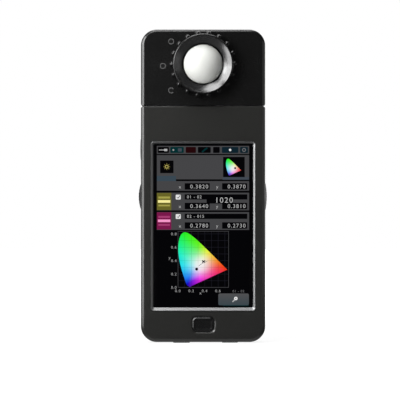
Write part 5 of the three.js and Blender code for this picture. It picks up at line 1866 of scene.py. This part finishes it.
    def stored(self, top: float, inks: tuple[Ink, Ink, Ink], label: str) -> None:
        """Draws the colour patch, the tick box and the name box of a stored reading.

        Args:
            top: upper side of the row.
            inks: colours of the patch's ground, its dark lines and its bright line.
            label: words in the name box.
        """
        ground, line, bright = inks
        self.panel(0.3, top, 14.8, top + 17.2, ground, 2)
        self.panel(1.8, top + 3.6, 13.4, top + 5.6, line, 3)
        self.panel(1.4, top + 7.2, 13.8, top + 9.8, bright, 3)
        self.panel(1.8, top + 11.8, 13.4, top + 13.4, line, 3)
        self.panel(19.2, top + 1.8, 24.2, top + 6.6, Ink.WHITE, 2, radius=0.7)
        self.stroke([[20.4, top + 4.2], [21.5, top + 5.4], [23.6, top + 2.6]], 0.7, Ink.MARK.light, 3)
        self.panel(28.2, top + 1.4, 90.8, top + 6.6, Ink.BLACK, 2, radius=0.3)
        self.words(label, 30.4, top + 5.4, 3.0, Ink.TEXT, 3)

    def large_chart(self, chart: ChromaticityChart) -> None:
        """Draws the large chart with its grid, numbers and marks.

        Args:
            chart: the chart.
        """
        x_end, y_end = 0.756, 0.838
        right, top = chart.cells(np.array([x_end, y_end]))
        left, foot = chart.origin
        self.horseshoe(chart, 2)
        lines = [(0.1 * n, True) for n in range(1, 8)] + [(0.1 * n, False) for n in range(1, 9)]
        for value, upright in lines:
            run = np.linspace(0, y_end if upright else x_end, 90)
            places = rows_of(value, run) if upright else rows_of(run, value)
            self.stroke(chart.cells(places), 0.35, chart.ink_at(places, 0.72), 3)
        frame_ink = Ink.CHART_FRAME.light
        corners = [(left, foot), (right, foot), (right, top), (left, top), (left, foot)]
        for start, end in zip(corners[:-1], corners[1:]):
            self.stroke([start, end], 0.4, frame_ink, 4)
        for number in range(5):
            _, down = chart.cells(np.array([0.0, 0.2 * number]))
            self.words(f"0.{2 * number}", left - 7.0, down + 1.4, 2.8, Ink.NUMBER, 4)
        for number in range(4):
            across, _ = chart.cells(np.array([0.2 * number, 0.0]))
            self.words(f"0.{2 * number}", across - 3.0, foot + 4.8, 2.8, Ink.NUMBER, 4)
        self.words("y", left - 9.4, 113.6, 3.0, Ink.NUMBER, 4)
        self.words("x", left + 21.4, foot + 7.0, 3.0, Ink.NUMBER, 4)
        mark = Ink.MARK.light
        share = np.linspace(0, 1, 12)
        curve = rows_of(0.31 + 0.13 * share, 0.322 + 0.1 * share - 0.03 * share**2)
        self.stroke(chart.cells(curve), 0.35, mark, 4)
        across, down = chart.cells(np.array([0.278, 0.273]))
        self.disc(across, down, 0, 1.45, Ink.MARK, 5)
        across, down = chart.cells(np.array([0.382, 0.387]))
        for tilt in (-1, 1):
            ends = [[across - 1.5, down - 1.1 * tilt], [across + 1.5, down + 1.1 * tilt]]
            self.stroke(ends, 0.95, mark, 5)

    def tool_button(self) -> None:
        """Draws the button with a spanner and the number above it."""
        self.panel(61.8, 148.0, 92.4, 159.8, Ink.BUTTON_TOP, 1, foot_ink=Ink.BUTTON_FOOT, radius=1.6)
        self.panel(66.5, 159.9, 92.2, 160.5, Ink.TEAL, 1)
        self.words("01 - 02", 76.0, 146.8, 2.4, Ink.DIM, 2)
        self.stroke([[76.0, 156.4], [78.6, 153.8]], 1.1, Ink.TEXT.light, 2)
        self.disc(79.3, 153.0, 0.5, 1.8, Ink.WHITE, 2)

    def build(self) -> None:
        """Draws the whole picture and makes it one piece over the glass."""
        self.panel(0, 0, 93, 160.5, Ink.BLACK, 0)
        self.status_bar()
        self.header(ChromaticityChart(origin=(69.4, 30.2), unit=20.6, pale_reach=0.22))
        self.reading(35.6, 45.2, 42.9, ("0.3820", "0.3870"))
        self.reading(47.2, 64.8, 62.5, ("0.3640", "0.3810"))
        self.stored(47.4, (Ink.OLIVE, Ink.OLIVE_LINE, Ink.YELLOW), "01 - 02")
        self.panel(50.0, 50.0, 76.5, 58.0, Ink.BLACK, 4)
        self.words("1020", 58.4, 57.2, 5.6, Ink.TEXT, 5)
        self.reading(66.6, 84.4, 82.0, ("0.2780", "0.2730"))
        self.stored(66.8, (Ink.WINE, Ink.WINE_LINE, Ink.PINK), "02 - 015")
        self.large_chart(ChromaticityChart(origin=(21.5, 141.9), unit=66.9))
        self.tool_button()
        mesh = bpy.data.meshes.new("display_picture")
        mesh.from_pydata((np.concatenate(self.points) * MM).tolist(), [], self.faces)
        inks = np.concatenate(self.inks)
        colour = mesh.color_attributes.new("ink", "FLOAT_COLOR", "POINT")
        rgba = np.concatenate([inks, np.ones((len(inks), 1))], axis=1)
        colour.data.foreach_set("color", rgba.astype(np.float32).ravel())
        mesh.update()
        form = bmesh.new()
        form.from_mesh(mesh)
        turned_away = [face for face in form.faces if face.normal.y > 0]
        bmesh.ops.reverse_faces(form, faces=turned_away)
        bmesh.ops.solidify(form, geom=form.faces[:], thickness=self.layer_thickness * MM)
        bmesh.ops.recalc_face_normals(form, faces=form.faces)
        form.to_mesh(mesh)
        form.free()
        place("display_picture", mesh, "body", PictureFinish("lcd_plate"))


@dataclass
class Screen:
    """The trim frame, the glass and the picture."""

    flange: float = 1.2
    flange_thickness: float = 0.8
    corner_radius: float = 1.6
    lip: float = 0.3
    lip_edge: float = 0.1
    glass_corner: float = 0.8
    glass_edge: float = 0.25
    cell: float = 0.5862
    picture_left: float = -27.3
    picture_top: float = 115.3

    def rim(self, margin: float, radius: float) -> np.ndarray:
        """The visible outline of the frame, widened by a margin."""
        return Extent.of("screen_frame").outline(margin - self.flange, radius)

    def opening(self) -> Shape:
        """The window in the front cover."""
        box, outline = Extent.of("screen_frame"), self.rim(KEY_GAP, self.corner_radius + KEY_GAP)
        return plate(outline, box.front - OVERRUN, box.back)

    def sight(self, margin: float) -> np.ndarray:
        """The outline of the glass, widened by a margin."""
        return Extent.of("touch_glass").outline(margin, self.glass_corner)

    def build(self) -> None:
        """Makes the frame as a closed ring of outlines, then the glass and the picture."""
        box, glass = Extent.of("screen_frame"), Extent.of("touch_glass")
        rim_back = box.back - self.flange_thickness
        brim_radius = self.corner_radius - self.lip
        rows = [
            (box.back, self.sight(PRESS_GAP)),
            (glass.front + self.lip_edge, self.sight(PRESS_GAP)),
            (glass.front, self.sight(PRESS_GAP + self.lip_edge / 2)),
            (box.front + self.lip_edge / 2, self.rim(-self.lip, brim_radius)),
            (box.front, self.rim(self.lip_edge - self.lip, brim_radius)),
            (box.front, self.rim(-self.lip_edge, self.corner_radius)),
            (box.front + self.lip_edge, self.rim(0, self.corner_radius)),
            (rim_back, self.rim(0, self.corner_radius)),
            (rim_back, self.rim(self.flange, self.corner_radius + self.flange)),
            (box.back, self.rim(self.flange, self.corner_radius + self.flange)),
        ]
        frame_shape = lofted([depth for depth, _ in rows], [ring for _, ring in rows], closed=True)
        place("screen_trim", frame_shape, "body", BRIGHT_TRIM, "screen_frame")
        depth, inset = edge_rows(self.glass_edge)
        depths = [*(glass.front + depth), glass.back]
        shape = lofted(depths, [self.sight(-drawn) for drawn in [*inset, 0]])
        place("window_glass", shape, "body", SCREEN_GLASS, "touch_glass")
        DisplayPicture(self.cell, self.picture_left, self.picture_top, glass.front).build()


# Sub-assemblies


@dataclass
class Body:
    """The lower housing with everything that is fitted to its covers."""

    neck_radius: float = 8.3

    def build(self) -> None:
        """Makes the covers and what they carry."""
        housing = Housing("front_cover", "rear_cover", low_radius=9.4, high_radius=1.0, seam_high=True)
        front_box, rear_box = housing.front_box, housing.rear_box
        face, top = front_box.right, front_box.high
        menu = MenuKey()
        keys = [
            SideKey("power_button", "power_key", "power_key_cap", face),
            SideKey("measuring_button", "measuring_key", "measuring_key_cap", face, rib_count=4),
            SideKey("memory_button", "memory_key", "memory_key_cap", face, rib_count=4),
        ]
        flaps = [
            Flap("usb_cover", "usb_flap", "usb_flap_pad"), Flap("sync_cover", "sync_flap", "sync_flap_pad"),
        ]
        sockets, screen, bay, nut = Sockets(), Screen(), BatteryBay(), TripodNut()
        neck = turned_upright(rod(self.neck_radius, top - housing.wall - OVERRUN, top + OVERRUN), 64)
        holes = [screen.opening(), *menu.openings(), *sockets.openings(), neck]
        holes += [key.opening(housing.wall) for key in keys]
        holes += [flap.pocket() for flap in flaps]
        front_ridge = housing.ridge(front_box.front + housing.ridge_inset, front_box.back)
        rear_ridge = housing.ridge(
            front_box.back + housing.parting_gap, rear_box.back - housing.ridge_inset - OVERRUN,
        )
        front = housing.front_shell([front_ridge], holes)
        place("front_shell", front, "body", BODY_PAINT, "front_cover")
        rear = housing.rear_shell([bay.box(), nut.boss(), rear_ridge], [*bay.openings(), nut.hole(), neck])
        place("rear_shell", rear, "body", BODY_PAINT, "rear_cover")
        Screws(housing, "body_screw", "body").build()
        for piece in [menu, *keys, *flaps, sockets, screen, nut, bay]:
            piece.build()


@dataclass
class Head:
    """The swivelling housing with its marks, which are print with a painted highlight."""

    neck_radius: float = 8.3
    post_radius: float = 2.2
    post_inset: float = 3.0
    mark_reach: float = 23.6  # from the middle of the marks' arc to a mark
    mark_drop: float = 0.85  # of the middle of that arc under the receptor axis
    mark_step: float = 37.5
    mark_radius: float = 1.7
    mark_line: float = 0.38
    mark_thickness: float = 0.03
    mark_steps: int = 40
    shaded_gap: float = 70.0  # of the ring at the lowest position, in degrees: its right side left dark as painted shade
    fill_gap: float = 0.1
    bearing_flange: float = 3.5

    def mark(self, opening: float) -> Shape:
        """A grey ring, or a ring with a gap, about the Y axis: print with a painted highlight.

        Formula: a strip of four edges along an arc: inner and outer radius, each at the face and one
        thickness before it.

        Args:
            opening: the gap in the ring, in degrees, left dark as painted shade.

        Returns:
            The mark.
        """
        start = math.radians(opening / 2)
        turn = np.linspace(start, 2 * math.pi - start, self.mark_steps + 1)[: None if opening else -1]
        inner, outer = self.mark_radius - self.mark_line, self.mark_radius
        front = -self.mark_thickness
        edges = [(inner, 0.0), (inner, front), (outer, front), (outer, 0.0)]
        radius, depth = np.array(edges).T
        turn = turn[:, None]
        return solid_round(rows_of(radius * np.cos(turn), depth, radius * np.sin(turn)), ring=not opening)

    def round_receptor(self, shape: Shape, angle: float) -> Shape:
        """Moves a mark to its place at an angle round the receptor, in degrees."""
        away = math.radians(angle)
        return shape.moved(self.mark_reach * math.cos(away), 0, self.mark_reach * math.sin(away))

    def build(self) -> None:
        """Makes the covers, the screws and the marks of the three positions."""
        housing = Housing(
            "head_front_cover", "head_rear_cover", low_radius=1.0, high_radius=9.4, seam_high=False,
        )
        box = housing.front_box
        ring, bearing = Extent.of("selector_ring"), Extent.of("ring_bearing")
        optics = Extent.of("optics_block")
        axis_z = ring.middle[2]
        neck = turned_upright(
            rod(self.neck_radius, box.low - OVERRUN, box.low + housing.wall + OVERRUN), 64,
        )
        bore_radius = bearing.right - self.bearing_flange + PRESS_GAP
        bore = turned(rod(bore_radius, box.front - OVERRUN, box.front + housing.wall + OVERRUN), 96)
        post = turned(rod(self.post_radius, box.front + housing.wall / 2, optics.front - FIT_GAP), 32)
        posts = [
            post.moved(x, 0, z)
            for x in (optics.left + self.post_inset, optics.right - self.post_inset)
            for z in (optics.low + self.post_inset, optics.high - self.post_inset)
        ]
        front = housing.front_shell(posts, [bore.moved(0, 0, axis_z), neck])
        place("head_front_shell", front, "head", HEAD_PAINT, "head_front_cover")
        rear = housing.rear_shell([], [neck])
        place("head_rear_shell", rear, "head", HEAD_PAINT, "head_rear_cover")
        Screws(housing, "head_screw", "head").build()
        angles = (180 - self.mark_step, 180, 180 + self.mark_step)
        # The grey rings are print and a painted highlight from the upper left; the gap on the right of the
        # lowest ring is painted shade.
        rings = [self.mark(self.shaded_gap if angle > 180 else 0) for angle in angles]
        fill_radius = self.mark_radius - self.mark_line - self.fill_gap
        fills = [turned(rod(fill_radius, -self.mark_thickness, 0), 24)] * len(angles)
        # Level 84 greys the rings as print and painted highlight; level 2 fills their middles dark as
        # print.
        for name, shapes, level in (("marks_with_painted_highlight", rings, 84), ("mark_fills", fills, 2)):
            shapes = [self.round_receptor(shape, angle) for shape, angle in zip(shapes, angles)]
            print_and_highlight = Finish(
                "bright_trim", (level,) * 3, (level + 12,) * 3, 0.6, grain_size=0.1, relief=0.001,
                specular=0.2,
            )
            flat = shapes[0].with_parts(*shapes[1:]).moved(0, box.front, axis_z - self.mark_drop)
            place(name, flat, "head", print_and_highlight)


@dataclass
class Receptor:
    """The selector ring with its lobes, the polished dish and the opal dome."""

    rim_width: float = 0.5
    rim_bevel: float = 0.8
    dish_radius: float = 16.8
    dish_depth: float = 3.2
    dish_lift: float = 0.9  # of the polished dish above the floor of the ring
    dish_sag: float = 0.18
    dish_thickness: float = 0.3
    dish_gap: float = 0.5  # of dark ring between the dome's hole and the polished dish
    dish_play: float = 0.06  # between the polished dish and the ring
    dish_wall: float = 1.5
    bore_radius: float = 12.0
    tail_wall: float = 1.2
    core_wall: float = 2.0
    lobe_count: int = 18
    lobe_radius: float = 1.55
    lobe_reach: float = 0.4
    lobe_setback: float = 1.3
    dome_radius: float = 11.4
    dome_skirt: float = 1.5
    dome_wall: float = 1.3
    tick_width: float = 0.55
    tick_ends: tuple[float, float] = (-0.9, 1.15)  # from the lobe's middle, outwards
    tick_thickness: float = 0.03
    steps: int = 216
    ring: Extent = field(init=False)
    dome: Extent = field(init=False)
    axis_z: float = field(init=False)
    ring_radius: float = field(init=False)
    back: float = field(init=False)
    dish_floor: float = field(init=False)

    def __post_init__(self) -> None:
        """Reads the ring's place from the imported model."""
        self.ring = Extent.of("selector_ring")
        self.dome = Extent.of("diffuser_dome")
        self.axis_z = self.ring.middle[2]
        self.ring_radius = self.ring.right - self.lobe_reach - self.lobe_radius
        self.back = Extent.of("head_front_cover").front - FIT_GAP
        self.dish_floor = self.ring.front + self.dish_depth

    def dish_curve(self, offset: float, start: float, end: float) -> np.ndarray:
        """Rows of the concave dish between two radii.

        Formula: depth runs straight from the lifted floor at the bore to the rim, plus the sag times
        the sine of half a turn over that run.

        Args:
            offset: depth added throughout.
            start, end: first and last radius.

        Returns:
            Rows of radius and depth.
        """
        radius = np.linspace(start, end, 14)
        share = (radius - self.bore_radius) / (self.dish_radius - self.bore_radius)
        depth = self.ring.front + (1 - share) * (self.dish_depth - self.dish_lift)
        depth += self.dish_sag * np.sin(share * math.pi)
        return rows_of(radius, depth + offset)

    def build_ring(self) -> None:
        """Makes the black ring: a turned core joined with its lobes."""
        ring, front = self.ring, self.ring.front
        hollow = self.ring_radius - self.rim_width - self.dish_wall / 2
        core = self.bore_radius + self.core_wall
        tail = self.bore_radius + self.tail_wall
        slope = self.dish_depth / (self.dish_radius - self.bore_radius)

        def behind(radius: float) -> float:
            """Depth of the hollow's floor behind the dish."""
            return self.dish_floor - (radius - self.bore_radius) * slope + self.dish_wall

        drop, inset = edge_rows(self.rim_bevel, 4)
        rounding = rows_of(self.ring_radius - inset, front + drop)
        profile = np.concatenate([
            self.dish_curve(self.dish_thickness, self.bore_radius, self.dish_radius),
            [[self.dish_radius, front + self.dish_play], [self.dish_radius + self.dish_play, front]],
            rounding,
            [
                [self.ring_radius, self.back], [hollow, self.back], [hollow, behind(hollow)],
                [core, behind(core)], [core, self.back], [tail, self.back], [tail, ring.back],
                [self.bore_radius, ring.back],
            ],
        ])
        mesh = turned(profile, self.steps, closed=True)
        tip = front + self.lobe_setback
        lobe_profile = np.concatenate([
            arc(self.lobe_radius, tip + self.lobe_radius, 0, math.pi / 2, 8),
            [[self.lobe_radius, self.back], [0, self.back]],
        ])
        lobe = turned(lobe_profile, 28).moved(self.ring_radius + self.lobe_reach, 0, 0)
        lobes = [lobe.rolled(number * 2 * math.pi / self.lobe_count) for number in range(self.lobe_count)]
        inside = np.array([
            [core, behind(core)], [hollow, behind(hollow)], [hollow, self.back + OVERRUN],
            [core, self.back + OVERRUN],
        ])
        mesh = worked(mesh, Operation.JOIN, lobes)
        mesh = worked(mesh, Operation.CUT, [turned(inside, self.steps, closed=True)])
        mesh.transform(self.to_axis())
        place("selector_body", mesh, "selector", RING_BLACK, "selector_ring")

    def to_axis(self) -> Matrix:
        """The move from the origin to the receptor axis, in metres."""
        return Matrix.Translation((0, 0, self.axis_z * MM))

    def build_dish(self) -> None:
        """Makes the polished dish, a thin turned shell in the ring."""
        inner, outer = self.bore_radius + self.dish_gap, self.dish_radius - self.dish_play
        face = self.dish_curve(0, inner, outer)
        seat = self.dish_curve(self.dish_thickness - self.dish_play, inner, outer)
        shape = turned(np.concatenate([face, seat[::-1]]), self.steps, closed=True)
        polished = Finish(
            "ring_metal", (17, 17, 18), (34, 34, 35), 0.25, specular=0.9, coat=0.5, grain=Grain.TURNED,
            grain_size=0.22, relief=0.004, centre=(0, 0, self.axis_z),
        )
        place("selector_dish", shape.moved(0, 0, self.axis_z), "selector", polished)

    def build_dome(self) -> None:
        """Makes the opal dome: an outer and an inner cap of a sphere and a skirt.

        Formula: a cap of height h and base radius r belongs to a sphere of radius (r * r + h * h) / 2h.
        """
        height = self.dish_floor - self.dome.front
        outer = (self.dome_radius**2 + height**2) / (2 * height)
        centre = self.dome.front + outer
        inner = outer - self.dome_wall
        bore = self.dome_radius - self.dome_wall
        skirt = self.dish_floor + self.dome_skirt
        profile = np.concatenate([
            arc(outer, centre, 0, math.asin(self.dome_radius / outer), 28),
            [[self.dome_radius, skirt], [bore, skirt]],
            arc(inner, centre, math.asin(bore / inner), 0, 20),
        ])
        shape = turned(profile, 128).moved(0, 0, self.axis_z)
        place("opal_cap", shape, "selector", OPAL, "diffuser_dome")

    def build_tick(self) -> None:
        """Makes the index line on the left lobe.

        Formula: at a distance s from the lobe's middle the line lies on the lobe's round tip, whose
        depth is the tip plus the radius less the root of radius squared less s squared.
        """
        thickness = self.tick_thickness
        along = np.linspace(*self.tick_ends, 12)
        tip = self.ring.front + self.lobe_setback
        depth = tip + self.lobe_radius - np.sqrt(self.lobe_radius**2 - along**2)
        x = -(self.ring_radius + self.lobe_reach) - along
        half = self.tick_width / 2
        sag = self.lobe_radius - math.sqrt(self.lobe_radius**2 - half**2)
        z, lift = np.array([
            (-half, 0.1), (-half, sag - thickness), (0, -thickness), (half, sag - thickness), (half, 0.1),
        ]).T
        points = rows_of(x[:, None], depth[:, None] + lift, self.axis_z + z)
        paint = Finish("opal_dome", (70, 70, 69), (84, 84, 83), 0.6, grain_size=0.1, relief=0.001)
        place("index_line", solid_round(points), "selector", paint)

    def build(self) -> None:
        """Makes the receptor's visible pieces."""
        self.build_ring()
        self.build_dish()
        self.build_dome()
        self.build_tick()


@dataclass
class Interior:
    """The pieces inside, which keep their CAD shapes and get their finishes."""

    nodes: dict[Finish, str] = field(default_factory=lambda: {
        LCD_PLATE: "lcd_panel",
        BOARD_LAMINATE: "main_board sensor_board",
        TIN_PLATE: "processor_shield menu_switch",
        BLACK_PLASTIC: "power_switch measuring_switch memory_switch cable_socket ring_bearing dome_seat",
        STEEL: "battery_contact_right neck_clip entrance_slit detent_ball detent_spring",
        DARK_ANODISED: "neck_tube optics_block selector_disc",
        GRATING_GLASS: "grating_mirror",
        SENSOR_CERAMIC: "line_sensor",
        CABLE_JACKET: "head_cable",
    })

    def build(self) -> None:
        """Gives each CAD node that stays its procedural finish."""
        for finish, names in self.nodes.items():
            for node in names.split():
                for material_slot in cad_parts[node].material_slots:
                    material_slot.material = finish.material()
                LOG.info("%s: finished as %s", node, finish.slot)


@dataclass
class Studio:
    """The camera, the soft lamps, the pale floor and the white surround.

    Attributes:
        image_size: pixels along each side of the photograph.
        pixel: millimetres of the object's face in one pixel.
        middle_pixel: pixel column of the object's middle.
        foot_pixel: pixel row of the object's bottom face.
    """

    image_size: int = 400
    pixel: float = 0.5862
    middle_pixel: float = 203.1
    foot_pixel: float = 342.2
    distance: float = 1600.0
    sensor: float = 36.0
    room_level: float = 0.07
    room_gloss: float = 0.03
    room_end: float = 0.1  # Y of the directions where the room ends for gloss
    white_start: float = 0.6  # and where the white behind the object is full
    flag_edge: float = 0.05  # half the width of the dark flag's soft edge
    floor_half: float = 3.0
    floor_glow: float = 1.45
    glow_share: float = 0.6
    shadow_reach: float = 0.12
    fade_reach: float = 0.4
    floor_gloss: float = 0.1
    foot_gloss: float = 0.6
    right_gloss: float = 0.3  # of the white behind the object that gloss sees to its right
    gloss_reach: float = 0.009
    foot_half: tuple[float, float, float] = (0.0365, 0.0135, 1.0)

    def camera(self) -> None:
        """Places the camera straight before the middle of the photograph's frame."""
        half = self.image_size / 2
        x = (half - self.middle_pixel) * self.pixel
        z = (self.foot_pixel - half) * self.pixel
        face = Extent.of("front_cover").front
        lens = bpy.data.cameras.new("camera")
        lens.sensor_width = self.sensor
        lens.lens = self.sensor * (self.distance + face) / (self.image_size * self.pixel)
        lens.clip_start = 0.05
        holder = new_object("camera", lens)
        holder.location = (x * MM, -self.distance * MM, z * MM)
        holder.rotation_euler = (math.pi / 2, 0, 0)
        bpy.context.scene.camera = holder

    def lamp(
        self, name: str, azimuth: float, tilt: float, distance: float, size: tuple[float, float],
        glare: float,
    ) -> None:
        """Adds a soft rectangular lamp that faces the object.

        Formula: an area lamp whose power is pi times its area shows in a mirror at level 1.

        Args:
            name: name of the lamp.
            azimuth: direction in the picture plane, anticlockwise from the right, in degrees.
            tilt: angle from the camera's direction, in degrees.
            distance: metres from the object's middle.
            size: width and height in metres.
            glare: level of the lamp as a mirror shows it.
        """
        around, away = math.radians(azimuth), math.radians(tilt)
        towards = Vector((
            math.sin(away) * math.cos(around), -math.cos(away), math.sin(away) * math.sin(around),
        ))
        light = bpy.data.lights.new(name, "AREA")
        light.shape = "RECTANGLE"
        light.size, light.size_y = size
        light.energy = glare * math.pi * size[0] * size[1]
        holder = new_object(name, light)
        middle = Vector((0, 0, (self.foot_pixel - self.image_size / 2) * self.pixel * MM))
        holder.location = middle + towards * distance
        holder.rotation_euler = towards.to_track_quat("Z", "Y").to_euler()

    def lamps(self) -> None:
        """Adds the lamps: the key, three panels at the left and above, one behind the top, and fills."""
        # Name, azimuth, tilt, distance, size and glare, as lamp() takes them.
        for row in (
            ("key", 142, 56, 0.4, (0.18, 0.18), 8),
            ("left_panel", 187, 53, 0.3, (0.0875, 0.32), 6),
            ("top_panel", 110, 57, 0.9, (0.42, 0.36), 7.2),
            ("overhead", 94, 74, 0.6, (0.36, 0.07), 4.5),
            ("crown", 90, 98, 0.6, (0.4, 0.2), 8),
            ("front_fill", 150, 38, 0.5, (0.16, 0.16), 8),
            ("right_fill", 0, 56, 0.6, (0.3, 0.5), 0.4),
            ("right_rear", 350, 112, 1.0, (0.5, 0.7), 3),
            ("back_fill", 40, 145, 1.0, (0.8, 0.8), 2.2),
        ):
            self.lamp(*row)

    def surround(self) -> None:
        """Makes the world: white behind the object, and a dim room before it.

        The camera always sees white. Gloss sees white behind the object, dimmed to the right as by a
        dark flag, and the dim room before it, and other rays get an even, low level.
        """
        world = bpy.data.worlds.new("surround")
        world.use_nodes = True
        nodes = Nodes(world.node_tree)
        room, output = (world.node_tree.nodes[name] for name in ("Background", "World Output"))
        path = nodes.light_path()
        split = world.node_tree.nodes.new("ShaderNodeSeparateXYZ")
        nodes.feed(split, {"Vector": nodes.add("TexCoord", "Generated", {})})
        behind = nodes.add("MapRange", "Result", {
            "Value": split.outputs["Y"], "From Min": self.room_end, "From Max": self.white_start,
        })
        flag = nodes.add("MapRange", "Result", {
            "Value": split.outputs["X"], "From Min": -self.flag_edge, "From Max": self.flag_edge,
            "To Min": 1.0, "To Max": self.right_gloss,
        })
        gloss = nodes.math("MULTIPLY", path["Is Glossy Ray"], nodes.math("MULTIPLY", behind, flag))
        clear = nodes.math("MAXIMUM", path["Is Camera Ray"], path["Is Transmission Ray"])
        level = nodes.math(
            "MULTIPLY_ADD", path["Is Glossy Ray"], self.room_gloss - self.room_level, self.room_level,
        )
        nodes.feed(room, {"Color": (1, 1, 1, 1), "Strength": level})
        white = nodes.add("Background", "Background", {"Color": (1, 1, 1, 1), "Strength": 1.0})
        share = nodes.math("MAXIMUM", clear, gloss)
        nodes.feed(output, {"Surface": nodes.mix_shaders(share, room.outputs["Background"], white)})
        bpy.context.scene.world = world

    def outside_foot(self, nodes: Nodes, place: Socket) -> Socket:
        """Distance in metres on the floor from the object's foot: what exceeds the foot's half size."""
        past = nodes.vector("SUBTRACT", nodes.vector("ABSOLUTE", place), self.foot_half)
        return nodes.vector("LENGTH", nodes.vector("MAXIMUM", past), output="Value")

    def floor(self) -> None:
        """Makes the pale floor, which keeps the object's shadow and is clear from below.

        Near the object its glow is a share of what the camera sees, so that the shadow shows, and
        further out it glows alone. Gloss sees the glow dimmed, and less so close to the object's foot.
        """
        low, half = CAD_BOX[0][2], self.floor_half
        corners = [(-half, -half, low), (half, -half, low), (half, half, low), (-half, half, low)]
        mesh = bpy.data.meshes.new("floor")
        mesh.from_pydata(corners, [], [[0, 1, 2, 3]])
        material, nodes, shader = new_material("pale_floor")
        nodes.feed(shader, {
            "Roughness": 0.9, "Base Color": (0.45, 0.45, 0.45, 1), "Specular IOR Level": 0.0,
        })
        path, place = nodes.light_path(), nodes.place()
        near = nodes.add("MapRange", "Result", {
            "Value": self.outside_foot(nodes, place), "From Max": self.gloss_reach,
            "To Min": self.foot_gloss, "To Max": self.floor_gloss,
        }, interpolation_type="SMOOTHSTEP")
        glossy = path["Is Glossy Ray"]
        level = nodes.add("Mix", "Result", {"Factor": glossy, "A": self.floor_glow, "B": near})
        fade = nodes.add("MapRange", "Result", {
            "Value": nodes.vector("LENGTH", place, output="Value"), "From Min": self.shadow_reach,
            "From Max": self.fade_reach, "To Min": self.glow_share,
        }, interpolation_type="SMOOTHSTEP")
        direct = nodes.math("MAXIMUM", path["Is Camera Ray"], glossy)
        seen = nodes.math("MAXIMUM", direct, path["Is Transmission Ray"])
        share = nodes.math("MAXIMUM", nodes.math("MULTIPLY", seen, fade), glossy)
        glow = nodes.add("Emission", "Emission", {"Strength": level})
        lit = nodes.mix_shaders(share, shader.outputs["BSDF"], glow)
        below = nodes.add("NewGeometry", "Backfacing", {})
        clear = nodes.add("BsdfTransparent", "BSDF", {})
        output = material.node_tree.nodes["Material Output"]
        nodes.feed(output, {"Surface": nodes.mix_shaders(below, lit, clear)})
        mesh.materials.append(material)
        new_object("floor", mesh)

    def build(self) -> None:
        """Sets up the whole studio."""
        bpy.context.scene.view_settings.view_transform = "Standard"
        self.camera()
        self.lamps()
        self.surround()
        self.floor()


def write_sizes() -> None:
    """Updates the view layer."""
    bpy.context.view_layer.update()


def main() -> None:
    """Builds the studio and every sub-assembly in order."""
    logging.basicConfig(level=logging.INFO, format="%(name)s %(message)s")
    for assembly in (Studio(), Body(), Head(), Receptor(), Interior()):
        assembly.build()
        LOG.info("%s built", type(assembly).__name__)
    write_sizes()


if __name__ == "__main__":
    main()
